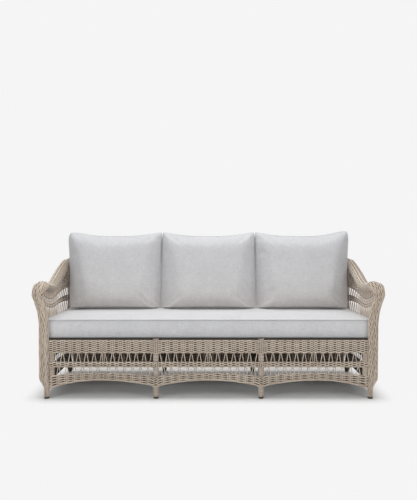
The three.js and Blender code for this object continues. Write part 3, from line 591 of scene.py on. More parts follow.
def mesh_object(name, points, quads, material, lay=None, painted_shade=None, corners=None):
    mesh = bpy.data.meshes.new(name)
    mesh.vertices.add(len(points))
    mesh.vertices.foreach_set("co", points.astype(np.float32).ravel())
    mesh.loops.add(quads.size)
    mesh.loops.foreach_set("vertex_index", quads.astype(np.int32).ravel())
    mesh.polygons.add(len(quads))
    mesh.polygons.foreach_set("loop_start", np.arange(0, quads.size, 4, dtype=np.int32))
    mesh.update(calc_edges=True)
    mesh.polygons.foreach_set("use_smooth", np.ones(len(quads), bool))
    for layer_name, kind, field, values in (
        ("lay", "FLOAT_VECTOR", "vector", lay),
        ("painted_shade", "FLOAT", "value", painted_shade),
    ):
        if values is not None:
            layer = mesh.attributes.new(layer_name, kind, "POINT")
            layer.data.foreach_set(field, values.astype(np.float32).ravel())
    if corners is not None:
        layer = mesh.uv_layers.new(name=BAKE_MAP)
        layer.uv.foreach_set("vector", corners.astype(np.float32).ravel())
    mesh.materials.append(material)
    piece = bpy.data.objects.new(name, mesh)
    bpy.context.scene.collection.objects.link(piece)
    return piece


def finish_piece(piece, body, node):
    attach(piece, body)
    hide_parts(node)


def frame_piece(name, strands, material=RATTAN):
    """The strands as one piece of the frame, in the place of the node of that name."""
    finish_piece(strands.build(name, material), "frame", name)


def smooth_line(stations):
    """A curve through stations, each a row of numbers whose first three are a point, in even steps."""
    stations = np.asarray(stations, float)
    before = np.vstack([2 * stations[0] - stations[1], stations[:-1]])
    after = np.vstack([stations[1:], 2 * stations[-1] - stations[-2]])
    slope = (after - before) / 2
    dense = []
    t = np.linspace(0, 1, STATION_STEPS, endpoint=False)[:, None]
    for k in range(len(stations) - 1):
        dense.append(
            (2 * t**3 - 3 * t**2 + 1) * stations[k]
            + (t**3 - 2 * t**2 + t) * slope[k]
            + (3 * t**2 - 2 * t**3) * stations[k + 1]
            + (t**3 - t**2) * slope[k + 1]
        )
    dense = np.vstack([*dense, stations[-1:]])
    run = np.concatenate([[0], np.cumsum(np.linalg.norm(np.diff(dense[:, :3], axis=0), axis=1))])
    wanted = np.linspace(0, run[-1], max(int(round(run[-1] / FORM_STEP)) + 1, 3))
    return np.stack([np.interp(wanted, run, column) for column in dense.T], axis=-1)


class Form:
    """A long rounded body. Each station is a point, the way across, the way up, half the width, half the
    height and the squareness of its section. Places on it are a share along and a share round."""

    def __init__(self, stations):
        line = smooth_line(stations)
        centre = line[:, 0:3]
        across = unit(line[:, 3:6])
        up = unit(line[:, 6:9])
        angle = np.linspace(0, 2 * np.pi, OUTLINE_STEPS + 1)
        c, s = np.cos(angle), np.sin(angle)
        outline = []
        for half_width, half_height, squareness in line[:, 9:12]:
            a = np.sign(c) * np.abs(c) ** (2 / squareness) * half_width
            b = np.sign(s) * np.abs(s) ** (2 / squareness) * half_height
            run = np.concatenate([[0], np.cumsum(np.hypot(np.diff(a), np.diff(b)))])
            wanted = np.arange(FORM_SAMPLES) / FORM_SAMPLES * run[-1]
            outline.append(np.stack([np.interp(wanted, run, a), np.interp(wanted, run, b)], -1))
        outline = np.array(outline)
        self.grid = centre[:, None] + outline[..., :1] * across[:, None] + outline[..., 1:] * up[:, None]
        round_way = np.roll(self.grid, -1, axis=1) - np.roll(self.grid, 1, axis=1)
        long_way = np.gradient(self.grid, axis=0)
        normal = unit(np.cross(round_way, long_way))
        outward = ((self.grid - centre[:, None]) * normal).sum(-1, keepdims=True)
        self.normal = normal * np.sign(outward.mean())
        self.length = np.linalg.norm(np.diff(centre, axis=0), axis=1).sum()
        self.girth = np.linalg.norm(np.roll(self.grid, -1, axis=1) - self.grid, axis=-1).sum(axis=1)

    def at(self, along, turn, lift):
        """Points and outward directions at shares along and round."""
        s = np.clip(along, 0, 1) * (len(self.grid) - 1)
        i = np.clip(np.floor(s).astype(int), 0, len(self.grid) - 2)
        f = (s - i)[..., None]
        q = np.mod(turn, 1) * FORM_SAMPLES
        j = np.floor(q).astype(int)
        g = (q - j)[..., None]
        j, j_after = j % FORM_SAMPLES, (j + 1) % FORM_SAMPLES

        def read(grid):
            low = grid[i, j] * (1 - g) + grid[i, j_after] * g
            high = grid[i + 1, j] * (1 - g) + grid[i + 1, j_after] * g
            return low * (1 - f) + high * f

        normal = unit(read(self.normal))
        return read(self.grid) + normal * lift, normal

    def core(self, strands, inset):
        """The body's inner form, so that nothing shows through between its strands. It gets full painted
        shade and a low tone, so that the gaps between strands look shaded.
        """
        rows = np.unique(np.r_[np.arange(0, len(self.grid), CORE_ROWS), len(self.grid) - 1])
        rings = (self.grid - self.normal * inset)[rows][:, ::2]
        facing = np.cross(rings[0, 1] - rings[0, 0], rings[1, 0] - rings[0, 0])
        inward = (facing * self.normal[rows[0], 0]).sum() < 0
        strands.add_rings(rings if inward else rings[:, ::-1], CORE_TONE, 1.0)

    def wrap(self, strands, pitch, starts, thickness, lift, ridges=False):
        """Strands wound round the body side by side. More starts make them lie more aslant. Where there are
        ridges, every other strand lies deeper and gets painted shade."""
        turns = self.length / (pitch * starts)
        count = max(int(turns * WRAP_STEPS_A_TURN), 8)
        share = np.linspace(0, 1, count)
        for k in range(starts):
            wobble = WRAP_WOBBLE * np.sin(share * turns * WRAP_WOBBLE_RATE + k)
            deep = ridges and k % 2
            turn = share * turns + k / starts + wobble / starts
            path, normal = self.at(share, turn, lift - deep * thickness * RIDGE_SHARE)
            wave = np.full(count, 0.0 if deep else 1.0)
            strands.add(path, normal, pitch * WRAP_FILL, thickness, wave=wave, flank=0.5)

    def lengthwise(self, strands, count, thickness, lift):
        """Strands that run the body's whole length side by side, each a little wavy."""
        share = np.linspace(0, 1, max(int(self.length / LENGTHWISE_STEP), 8))
        girth = np.interp(share, np.linspace(0, 1, len(self.girth)), self.girth)
        width = girth / count * LENGTHWISE_FILL
        for k in range(count):
            phase = strands.random.random() * 6.28
            pace = LENGTHWISE_PACE + LENGTHWISE_PACE_SPREAD * strands.random.random()
            waves = pace * 2 * np.pi * self.length / LENGTHWISE_WAVE_RUN
            sway = LENGTHWISE_WAVER / count * np.sin(share * waves + phase)
            depth = LENGTHWISE_RIPPLE * np.sin(share * LENGTHWISE_RIPPLE_RATE + phase)
            path, normal = self.at(share, (k + 0.5) / count + sway, lift)
            path = path + normal * depth[:, None]
            strands.add(path, normal, width, thickness, flank=0.5)


def mirrored_stations(stations, side):
    """The stations of the other side's body, where side is -1."""
    stations = np.array(stations, float)
    stations[:, [0, 3, 6]] *= side
    return stations


# Woven walls


def even_run(low, high, pitch):
    return np.linspace(low, high, max(int(round((high - low) / pitch)), 1) + 1)


def bay_runs(start, end, end_edge=EDGE_AT_LEG):
    """Where the pairs of stakes stand in a bay, in two runs with a slim middle stake between them."""
    low, high = start + EDGE_AT_LEG, end - end_edge
    middle = (low + high) / 2
    return (
        even_run(low, middle - MIDDLE_STAKE / 2, STAKE_PITCH),
        even_run(middle + MIDDLE_STAKE / 2, high, STAKE_PITCH),
    )


def with_normals(axis, way, points):
    """The points with their outward direction, which is the same everywhere."""
    normals = np.zeros_like(points)
    normals[..., axis] = way
    return points, normals


def steady(value):
    return lambda u: np.full(len(u), float(value))


class Wall:
    """A woven wall. place(u, w) gives points and outward directions, and the six levels give w along u:
    a band, an open row, a band, an open row and a band, from the bottom up."""

    def __init__(self, place, span, runs, levels, seed, inner_shade=0.0, legs=(), first_beat=0):
        self.inner_shade = inner_shade
        self.first_beat = first_beat
        self.place = place
        self.span = span
        self.runs = runs
        self.levels = levels
        stakes = np.unique(np.round(np.concatenate([*runs, legs]), 5))
        self.stakes = np.concatenate([[stakes[0] - STAKE_PITCH], stakes, [stakes[-1] + STAKE_PITCH]])
        self.strands = Strands(seed)

    def lifted(self, u, w, lift):
        points, normals = self.place(u, w)
        return points + normals * np.asarray(lift)[..., None], normals

    def band(self, below, above, beats=1):
        """Rows of weavers from one level to the next, each over and under the stakes in turn, or beats
        times between one stake and the next."""
        start, end = self.span
        u = np.linspace(start, end, max(int((end - start) / STRAND_STEP * math.sqrt(beats)), 4))
        low, high = self.levels[below](u), self.levels[above](u)
        tall = np.linalg.norm(self.place(u, high)[0] - self.place(u, low)[0], axis=-1)
        rows = max(int(round(tall.mean() / ROW_PITCH)), 2)
        beat = np.interp(u, self.stakes, np.arange(len(self.stakes)) - 1.0) + self.first_beat
        for row in range(rows):
            w = low + (high - low) * (row + 0.5) / rows
            wave = np.tanh(WAVE_FIRMNESS * (np.cos(np.pi * (beat * beats + row)) + WAVE_BIAS))
            jitter = self.strands.random.normal(0, JITTER, len(u))
            path, normal = self.lifted(u, w, wave * WEAVER_SWAY + jitter)
            height = WEAVER_HEIGHT * tall / rows / ROW_PITCH
            self.lay_strand(path, normal, height, WEAVER_THICKNESS, wave, WEAVER_FLANK)
        # A sheet behind the band, near black with painted shade, which paints the shade seen through the
        # weave's gaps
        path, normal = self.place(u, (low + high) / 2)
        width = tall * SHADE_SHEET_SHARE * math.sqrt(2)
        under = np.full(len(u), -1.0)
        tone = SHADE_SHEET_TONE
        self.strands.add(path, normal, width, SHADE_SHEET_THICKNESS, sides=4, tone=tone, wave=under, flank=1.0)

    def lay_strand(self, path, normal, width, thickness, wave, flank):
        shade = self.inner_shade
        self.strands.add(path, normal, width, thickness, wave=wave, flank=flank, inner_shade=shade)

    def edge(self, level, shift, radius=BORDER_RADIUS, thickness=BORDER_THICKNESS, pitch=BORDER_TWIST,
             count=2, shade=1.0):
        """A border twisted of strands along a level, set off it by shift. A shade under 1 darkens it with
        painted shade.
        """
        start, end = self.span
        u = np.linspace(start, end, max(int((end - start) / BORDER_STEP), 6))
        points, normals = self.place(u, self.levels[level](u))
        along = unit(np.gradient(points, axis=0))
        up = unit(np.cross(normals, along))
        up *= np.sign(up[:, 2:3])
        for k in range(count):
            turn = 2 * np.pi * ((u - start) / pitch + k / count)
            path = points + up * (shift + radius * np.cos(turn))[:, None]
            path = path + normals * (radius * np.sin(turn))[:, None]
            self.strands.add(path, normals, thickness, thickness, wave=np.full(len(u), shade))

    def stake(self, knots, width=STAKE_WIDTH, thickness=STAKE_THICKNESS):
        """A strand through knots of u and level number, straight between them."""
        u, level = np.array(knots, float).T
        steps = np.linspace(0, len(knots) - 1, STAKE_STEPS * (len(knots) - 1) + 1)
        u = np.interp(steps, np.arange(len(knots)), u)
        level = np.interp(steps, np.arange(len(knots)), level)
        table = np.array([read(u) for read in self.levels])
        w = np.array([np.interp(n, np.arange(len(table)), column) for n, column in zip(level, table.T)])
        path, normal = self.place(u, w)
        in_band = np.minimum(np.abs(level - 1.5), np.abs(level - 3.5)) > 0.475
        wave = np.where(in_band, STAKE_WAVE_IN_BAND, 1.0)
        self.lay_strand(path, normal, width, thickness, wave, STAKE_FLANK)

    def cells(self, lean_share=LEAN_SHARE, size=lambda u: (STAKE_WIDTH, STAKE_THICKNESS)):
        """Two stakes a cell: each leans in from the pair above it, meets its neighbour below the middle
        band and leans out again to the lowest band."""
        for run in self.runs:
            for a, b in zip(run[:-1], run[1:]):
                lean = lean_share * (b - a)
                middle = (a + b) / 2
                width, thickness = size(middle)
                half = PAIR_HALF * width / STAKE_WIDTH
                for corner, way in ((a, 1), (b, -1)):
                    knots = [
                        (corner + way * half, 5),
                        (corner + way * half, 4),
                        (corner + way * lean, 3),
                        (middle - way * half, 2),
                        (middle - way * lean, 1),
                        (middle - way * lean, 0),
                    ]
                    self.stake(knots, width=width, thickness=thickness)

    def weave(self, **cell_settings):
        self.band(0, 1)
        self.band(2, 3, 2)
        self.band(4, 5, 2)
        self.cells(**cell_settings)
        for level, way in ((1, -1), (2, 1), (3, -1), (4, 1)):
            self.edge(level, way * BORDER_SHIFT)

    def slim_pair(self, middle):
        """The slim stake in the middle of a bay, which is two strands side by side."""
        for u in (middle - SLIM_STAKE_HALF, middle + SLIM_STAKE_HALF):
            self.stake([(u, 5), (u, 2.5)], width=SLIM_STAKE_WIDTH)

    def upright(self):
        """A wide stake wound with strands, beside the post at the wall's end."""
        u = self.span[1] - UPRIGHT_INSET
        w = np.array([read(np.array([u]))[0] for read in self.levels])
        w = np.interp(np.linspace(*UPRIGHT_LEVELS, UPRIGHT_STATIONS), np.arange(len(w)), w)
        points, normals = self.lifted(np.full(len(w), u), w, np.full(len(w), UPRIGHT_LIFT))
        across = unit(np.cross(normals, np.gradient(points, axis=0)))
        sizes = np.tile([UPRIGHT_WIDTH / 2, UPRIGHT_DEPTH / 2, UPRIGHT_SQUARENESS], (len(w), 1))
        form = Form(np.hstack([points, across, normals, sizes]))
        form.core(self.strands, UPRIGHT_CORE_INSET)
        form.wrap(self.strands, **UPRIGHT_WRAP)


def scallop(u, start, end, at_leg, at_middle):
    share = np.clip((u - start) / (end - start), 0, 1)
    return at_leg + (at_middle - at_leg) * np.sin(np.pi * share) ** ARCH_FULLNESS


def skirt_levels(start, end, hem):
    """The skirt's levels in a bay. hem is the lower edge's height at its start, middle and end."""
    at_start, at_middle, at_end = hem

    def hem_side(u):
        return np.interp(u, [start, end], [at_start, at_end])

    return [
        lambda u: scallop(u, start, end, hem_side(u), at_middle),
        lambda u: scallop(u, start, end, HEM_TOP_AT_LEG, HEM_TOP_AT_MIDDLE),
        *(steady(height) for height in (MID_BOTTOM, MID_TOP, BAND_BOTTOM, BAND_TOP)),
    ]


def facing_y(depth, way, side, bulge):
    """A wall across the sofa at a depth. way is -1 for the front and 1 for the back. Where it passes a
    middle leg it stands proud by the bulge."""
    def place(u, w):
        off = np.abs(np.abs(u) - LEG_OFFSET)
        swell = bulge * np.cos(np.pi / 2 * np.clip(off / LEG_BULGE_REACH, 0, 1)) ** 2
        return with_normals(1, way, row_point(side * u, depth + way * swell, w))
    return place


def skirt_piece(name, wall):
    wall.edge(5, shade=BORDER_SHADE, **TOP_BORDER)
    wall.edge(0, **HEM_ROPE)
    frame_piece(name, wall.strands)


def skirts(row, depth, way, outer_end, hems, seed, bulge=0.0):
    """The three bays of the front or the rear skirt. Those with a bulge run on over the middle legs and
    have a slim middle stake. hems are the hem's heights in the middle bay and in an outer one."""
    outer_bay = (OUTER_BAY_START, outer_end)
    bays = [("middle", 1, MIDDLE_BAY, EDGE_AT_LEG, hems[0], seed)]
    bays += [(name, side, outer_bay, EDGE_AT_POST, hems[1], seed + 1 + side) for name, side in SIDES]
    for name, side, bay, end_edge, hem, bay_seed in bays:
        runs = bay_runs(*bay, end_edge)
        span, legs, first_beat = bay, (), 0
        if bulge:
            legs = (-LEG_OFFSET, LEG_OFFSET) if name == "middle" else (LEG_OFFSET,)
            span = legs if name == "middle" else (LEG_OFFSET, outer_end)
            first_beat = 1 if name == "right" else 0
        place = facing_y(depth, way, side, bulge)
        levels = skirt_levels(*bay, hem)
        wall = Wall(place, span, runs, levels, bay_seed, SKIRT_INNER_SHADE, legs, first_beat)
        wall.weave()
        if bulge:
            wall.slim_pair((runs[0][-1] + runs[1][0]) / 2)
        if name != "middle":
            wall.upright()
        skirt_piece(f"{row}_skirt_{name}", wall)


def swept_hem(u):
    sweep = SIDE_SWEEP * np.clip(1 - (u - SIDE_START) / SIDE_SWEEP_RUN, 0, 1) ** 2
    return REAR_HEM_BOTTOM + sweep


def side_skirts():
    runs = bay_runs(SIDE_START, SIDE_END)
    levels = [swept_hem, *skirt_levels(SIDE_START, SIDE_END, LEVEL_HEM)[1:]]
    for name, side in SIDES:
        def place(u, w, side=side):
            return with_normals(0, side, row_point(side * WALL_X, u, w))
        wall = Wall(place, (SIDE_START, SIDE_END), runs, levels, 31 + side, SKIRT_INNER_SHADE)
        wall.weave()
        skirt_piece(f"side_skirt_{name}", wall)


# Rolled rail

CORNER_START = ROLL_DEPTH - ROLL_CORNER
CORNER_X = ROLL_X - ROLL_CORNER
ARM_END = POST_THICKNESS / 2 + TURN_RADIUS
DIP_HEIGHT = ARM_END_HEIGHT - ARM_DIP
CORNER_HEIGHT = DIP_HEIGHT + ARM_RISE + CORNER_RISE
arm_depths = ARM_END + (CORNER_START - ARM_END) * np.array(ARM_STATIONS)
arm_dips, arm_rises = ARM_DIP * np.array(ARM_DIP_SHARES), ARM_RISE * np.array(ARM_RISE_SHARES)
arm_heights = DIP_HEIGHT + np.concatenate([arm_dips, arm_rises])


def arm_height(depth):
    return np.interp(depth, arm_depths, arm_heights)


def back_height(x):
    share = np.minimum(np.abs(x) / CORNER_X, 1)
    return CORNER_HEIGHT + BACK_RISE * (1 - share**2)


def station(x, depth, z, across, up, half_width, half_height, squareness):
    return [x, depth + FRONT, z, *across, *up, half_width, half_height, squareness]


def roll_station(x, depth, z, across):
    return station(x, depth, z, across, (0, 0, 1), ROLL_HALF_WIDTH, ROLL_HALF_HEIGHT, ROLL_SQUARENESS)


def cords_along(strands, form, side):
    """Two twisted cords that run along a rail. On the left rail they are mirrored."""
    share = np.linspace(0, 1, int(form.length / CORD_STEP))
    for turn in CORD_TURNS:
        turn = turn if side > 0 else 0.5 - turn
        for k in range(2):
            twist = 2 * np.pi * (share * form.length / CORD_TWIST + k / 2)
            path, normal = form.at(share, turn + CORD_SWAY * np.cos(twist), CORD_LIFT)
            path = path + normal * (CORD_RISE * np.sin(twist))[:, None]
            strands.add(path, normal, CORD_WIDTH, CORD_THICKNESS, tone=CORD_TONE)


def woven_flank(strands, form, side):
    """Rows of weavers along a rail's inner side, from the twisted cords down to the wall."""
    first, last = FLANK_TURNS
    rows = int(round((last - first) * float(form.girth.mean()) / ROW_PITCH))
    share = np.linspace(0, 1, int(form.length / STRAND_STEP))
    beat = share * form.length / FLANK_BEAT
    for row in range(rows):
        turn = first + (last - first) * (row + 0.5) / rows
        turn = turn if side > 0 else 0.5 - turn
        wave = np.tanh(WAVE_FIRMNESS * (np.cos(np.pi * (beat + row)) + WAVE_BIAS))
        lift = FLANK_LIFT + wave * FLANK_SWAY + strands.random.normal(0, FLANK_JITTER, len(share))
        path, normal = form.at(share, np.full(len(share), turn), lift[:, None])
        # Only part of the over-and-under painted shade, which paints light on this shaded side
        shown = 1 - FLANK_WAVE_SHARE + FLANK_WAVE_SHARE * wave
        strands.add(path, normal, WEAVER_HEIGHT, WEAVER_THICKNESS, tone=FLANK_TONE, wave=shown, flank=0.2)


def roll_piece(name, stations, side, seed, material=RATTAN):
    """A rolled rail: wound strands, two cords along its top and rows of weavers on its inner side."""
    form = Form(mirrored_stations(stations, side))
    strands = Strands(seed)
    form.core(strands, ROLL_CORE_INSET)
    form.wrap(strands, **ROLL_WRAP)
    cords_along(strands, form, side)
    woven_flank(strands, form, side)
    frame_piece(name, strands, material)


def arm_rolls():
    stations = [roll_station(ROLL_X, depth, z, (1, 0, 0)) for depth, z in zip(arm_depths, arm_heights)]
    for name, side in SIDES:
        roll_piece(f"arm_roll_{name}", stations, side, 41 + side, PAINTED_LIGHT_RATTAN)


def back_roll():
    corner = []
    for angle in np.radians(np.linspace(0, 90, CORNER_STATIONS)):
        corner.append((
            CORNER_X + ROLL_CORNER * math.cos(angle),
            CORNER_START + ROLL_CORNER * math.sin(angle),
            CORNER_HEIGHT - CORNER_RISE * (1 - angle / (math.pi / 2)),
            (math.cos(angle), math.sin(angle), 0),
        ))
    places = np.linspace(CORNER_X, -CORNER_X, BACK_STATIONS)[1:-1]
    straight = [(x, ROLL_DEPTH, float(back_height(x)), (0, 1, 0)) for x in places]
    far = [(-x, depth, z, (-a, b, c)) for x, depth, z, (a, b, c) in reversed(corner)]
    stations = [roll_station(*row) for row in [*corner, *straight, *far]]
    roll_piece("back_roll", stations, 1, 44)


# Front posts


def post_stations():
    centre = POST_THICKNESS / 2
    foot = POST_INNER + FOOT_WIDTH / 2
    body = POST_INNER + POST_WIDTH / 2
    flared = body + POST_FLARE
    turn_base = ARM_END_HEIGHT - TURN_RADIUS
    upright = [(z, foot, FOOT_WIDTH, FOOT_WIDTH) for z in (GLIDE_TOP, FOOT_TOP * FOOT_MIDDLE, FOOT_TOP)]
    half_flared = (FOOT_WIDTH + POST_WIDTH) / 2
    upright.append(((FOOT_TOP + FLARE_TOP) / 2, (foot + body) / 2, half_flared, POST_THICKNESS))
    shaft = [(z, body) for z in (FLARE_TOP, *POST_STATIONS, POST_FLARE_BASE)]
    shaft.append(((POST_FLARE_BASE + turn_base) / 2, body + POST_FLARE * POST_FLARE_MIDDLE))
    shaft.append((turn_base, flared))
    upright += [(z, x, POST_WIDTH, POST_THICKNESS) for z, x in shaft]
    rows = [
        station(x, centre, z, (1, 0, 0), (0, 1, 0), wide / 2, deep / 2, POST_SQUARENESS)
        for z, x, wide, deep in upright
    ]
    for share in np.linspace(0, 1, TURN_STATIONS + 1)[1:]:
        angle = math.pi / 2 * share
        wide = np.interp(share, [0, DOME_SHARE, 1], [POST_WIDTH, DOME_WIDTH, 2 * ROLL_HALF_WIDTH])
        deep = np.interp(share, [0, 1], [POST_THICKNESS, 2 * ROLL_HALF_HEIGHT])
        rows.append(station(
            np.interp(share, [0, 1], [flared, ROLL_X]),
            ARM_END - TURN_RADIUS * math.cos(angle),
            turn_base + TURN_RADIUS * math.sin(angle),
            (1, 0, 0),
            (0, math.cos(angle), -math.sin(angle)),
            wide / 2,
            deep / 2,
            np.interp(share, [0, 1], [POST_SQUARENESS, ROLL_SQUARENESS]),
        ))
    return rows


def front_posts():
    for name, side in SIDES:
        form = Form(mirrored_stations(post_stations(), side))
        strands = Strands(51 + side)
        form.core(strands, POST_CORE_INSET)
        form.lengthwise(strands, **POST_STRANDS)
        frame_piece(f"front_post_{name}", strands)


# Legs and rear posts


def wound_post(name, seed, points, radius, material, inner_side=False):
    """A post wound with strands. inner_side paints shade on what faces the space under the seat."""
    form = Form([station(*point, (1, 0, 0), (0, 1, 0), radius, radius, 2.0) for point in points])
    strands = Strands(seed)
    form.core(strands, LEG_CORE_INSET)
    form.wrap(strands, **LEG_WRAP)
    if inner_side:
        shade_back = points[0][1] + FRONT + radius / 4
        strands.shade(lambda p: (p[:, 1] < shade_back) & (p[:, 2] < SEAT_LEVEL - ROW_PITCH))
    frame_piece(name, strands, material)


def leaning_points(x, depth, top):
    """Places along a rear post, which is upright up to the seat and leans back above it."""
    points = [(x, depth, z) for z in np.linspace(GLIDE_TOP, SEAT_LEVEL, REAR_POST_STATIONS)]
    for share in LEAN_STATIONS:
        points.append((x, depth + BACK_LEAN * share, SEAT_LEVEL + (top - SEAT_LEVEL) * share))
    return points


def legs():
    corner_x = WALL_X - CORNER_INSET
    corner_depth = WALL_DEPTH - CORNER_INSET
    corner_top = CORNER_HEIGHT - CORNER_RISE / 2 - WALL_TOP_UNDER
    mid_top = float(back_height(LEG_OFFSET)) - WALL_TOP_UNDER
    heights = np.linspace(GLIDE_TOP, SEAT_LEVEL, FRONT_LEG_STATIONS)
    for name, side in SIDES:
        points = leaning_points(side * corner_x, corner_depth, corner_top)
        wound_post(f"rear_corner_post_{name}", 61 + side, points, CORNER_RADIUS, RATTAN, True)
        points = leaning_points(side * LEG_OFFSET, WALL_DEPTH, mid_top)
        wound_post(f"rear_mid_post_{name}", 64 + side, points, LEG_RADIUS, RATTAN, True)
        points = [(side * LEG_OFFSET, LEG_DEPTH, z) for z in heights]
        wound_post(f"front_mid_leg_{name}", 67 + side, points, LEG_RADIUS, PAINTED_LIGHT_RATTAN)


# Walls above the seat


def arm_places(side):
    """Places on an arm's wall. It leans out, leans back towards its rear end, and ends under the rail."""
    def place(u, w):
        along = (u - SIDE_START) / (SIDE_END - SIDE_START)
        depth = u + BACK_LEAN * w * along
        under = arm_height(np.maximum(depth, ARM_END)) - WALL_TOP_UNDER
        settle = np.clip((u - SIDE_START) / WALL_SETTLE_RUN, 0, 1)
        top = WALL_FRONT_TOP + (under - WALL_FRONT_TOP) * settle
        height = SEAT_LEVEL + (top - SEAT_LEVEL) * w
        return with_normals(0, side, row_point(side * (WALL_X + ARM_LEAN * w), depth, height))
    return place


def arm_level(*shares):
    return lambda u: np.interp(u, [SIDE_START, SIDE_END], shares)


def arm_stake_size(u):
    share = (u - SIDE_START) / (SIDE_END - SIDE_START)
    return ARM_STAKE_WIDTH, ARM_STAKE_THICKNESS * (1 - ARM_STAKE_THINNING * share)


def arm_walls():
    start, end = SIDE_START, SIDE_END
    levels = [arm_level(*shares) for shares in zip(ARM_SHARES_AT_FRONT, ARM_SHARES_AT_BACK)]
    middle = start + (end - start) * ARM_CLOSE_SHARE
    runs = (even_run(start, middle, ARM_CLOSE_PITCH), even_run(middle, end, ARM_STAKE_PITCH))
    for name, side in SIDES:
        wall = Wall(arm_places(side), (start, end), runs, levels, 71 + side, ARM_INNER_SHADE)
        wall.weave(lean_share=ARM_LEAN_SHARE, size=arm_stake_size)
        frame_piece(f"arm_wall_{name}", wall.strands, PAINTED_WARM_LIGHT_RATTAN)


def back_places(side):
    """Places on the back's wall, which leans back and ends under the rail."""
    def place(u, w):
        height = SEAT_LEVEL + (back_height(u) - WALL_TOP_UNDER - SEAT_LEVEL) * w
        return with_normals(1, 1, row_point(side * u, WALL_DEPTH + BACK_LEAN * w, height))
    return place


def back_walls():
    levels = [steady(share) for share in BACK_SHARES]
    outer_bay = (OUTER_BAY_START, REAR_BAY_END)
    bays = (("middle", 1, MIDDLE_BAY), ("left", -1, outer_bay), ("right", 1, outer_bay))
    for k, (name, side, bay) in enumerate(bays):
        wall = Wall(back_places(side), bay, (even_run(*bay, STAKE_PITCH),), levels, 81 + k)
        wall.weave()
        frame_piece(f"back_wall_{name}", wall.strands)


skirts("front", SKIRT_DEPTH, -1, OUTER_BAY_END, (FRONT_HEM_MIDDLE, FRONT_HEM_OUTER), 11, LEG_BULGE)
skirts("rear", WALL_DEPTH, 1, REAR_BAY_END, (LEVEL_HEM, LEVEL_HEM), 21)
side_skirts()
arm_rolls()
back_roll()
front_posts()
legs()
arm_walls()
back_walls()


# Cushions

SEAT_CELLS = (176, 57, 9)
SEAT_CROWN = 0.012
SEAT_CROWN_POWERS = (12, 4)
SEAT_END_DROP = 0.016
SEAT_END_POWER = 16
SEAT_PULL = 0.005
SEAT_PULL_POWERS = (2, 6)
SEAT_START_SHARE = 0.5
SEAT_REACH = 0.022
SEAT_CALM_ROUNDS = 3
BACK_CELLS = (100, 88)
BACK_TILT = math.radians(14)
BACK_THICKNESS = 0.240
BACK_SIDE_PULL = 0.001
BACK_TOP_PULL = 0.034
BACK_FLARE = 0.018
BACK_EAR = {-1: 0.010, 0: 0.0, 1: 0.022}
BACK_SLUMP = 0.060
BACK_SETTLE = 0.033
BACK_SET_IN = 0.122
BACK_TAPER = 0.026
BACK_PITCH_GAP = 0.009
BACK_WIDENING = 0.0036
BACK_CORNER_PULL = 0.007
BACK_OUTER_CORNER_PULL = 0.015
BACK_CORNER_POWER = 10
BACK_CROWN_POWERS = (8, 6)
BACK_TOP_POWER = 2.5
BACK_SLUMP_LOSS_SHARE = 0.5
BACK_START_SHARE = 0.82
BACK_REACH = 0.022
BACK_CALM_ROUNDS = 6
BACK_PIPING = 0.006
RIM_EASE_SHARE = 0.85
PIPING = 0.0085
PIPING_INSET = 0.001
TOP_PIPING_LIFT = -0.001
BOTTOM_PIPING_LIFT = 0.003
CLOTH_SLACK = 0.012
CLOTH_PRESSURE = 4.0
CLOTH_FRAMES = 20
CLOTH_SETTINGS = {
    "quality": 6,
    "mass": 0.25,
    "tension_stiffness": 20,
    "compression_stiffness": 20,
    "shear_stiffness": 8,
    "bending_stiffness": 0.4,
    "use_pressure": True,
    "uniform_pressure_force": CLOTH_PRESSURE,
    "shrink_min": -CLOTH_SLACK,
}


def crown(share, power):
    return 1 - np.abs(share) ** power


def skin_quads(index, flip):
    quads = np.stack([index[:-1, :-1], index[1:, :-1], index[1:, 1:], index[:-1, 1:]], -1).reshape(-1, 4)
    return quads[:, ::-1] if flip else quads


def rim_of(index):
    """The grid's outer points in order, once round."""
    return np.concatenate([index[:-1, 0], index[-1, :-1], index[:0:-1, -1], index[0, :0:-1]])


def share_grid(cells, ease_share=0.0):
    """Shares across and up a cushion. Where they are eased, the rows crowd towards the rim."""
    u = np.linspace(-1, 1, cells[0] + 1)[:, None]
    v = np.linspace(-1, 1, cells[1] + 1)[None]
    eased = [s + (np.sin(np.pi / 2 * s) - s) * ease_share for s in (u, v)]
    return np.broadcast_arrays(*eased)


def points_of(mesh):
    values = np.empty(len(mesh.vertices) * 3, np.float32)
    mesh.vertices.foreach_get("co", values)
    return values.reshape(-1, 3).astype(float)


def inflate(piece, held, cap, rounds):
    """Blows the cover up as cloth, with its seams held, and limits how far each point goes."""
    start = points_of(piece.data)
    group = piece.vertex_groups.new(name="seams")
    group.add([int(k) for k in held], 1.0, "REPLACE")
    cloth = piece.modifiers.new("Cloth", "CLOTH")
    cloth.settings.vertex_group_mass = group.name
    for setting, value in CLOTH_SETTINGS.items():
        setattr(cloth.settings, setting, value)
    cloth.settings.effector_weights.gravity = 0
    cloth.collision_settings.use_collision = False
    cloth.point_cache.frame_start = 1
    cloth.point_cache.frame_end = CLOTH_FRAMES
    scene = bpy.context.scene
    for number in range(1, CLOTH_FRAMES + 1):
        scene.frame_set(number)
    solved = piece.evaluated_get(bpy.context.evaluated_depsgraph_get())
    moved = points_of(solved.data) - start
    piece.modifiers.remove(cloth)
    piece.vertex_groups.remove(group)
    scene.frame_set(1)
    reach = np.maximum(np.linalg.norm(moved, axis=1, keepdims=True), 1e-9)
    moved *= cap * np.tanh(reach / cap) / reach
    set_points(piece.data, start + calmed(piece.data, moved, held, rounds))


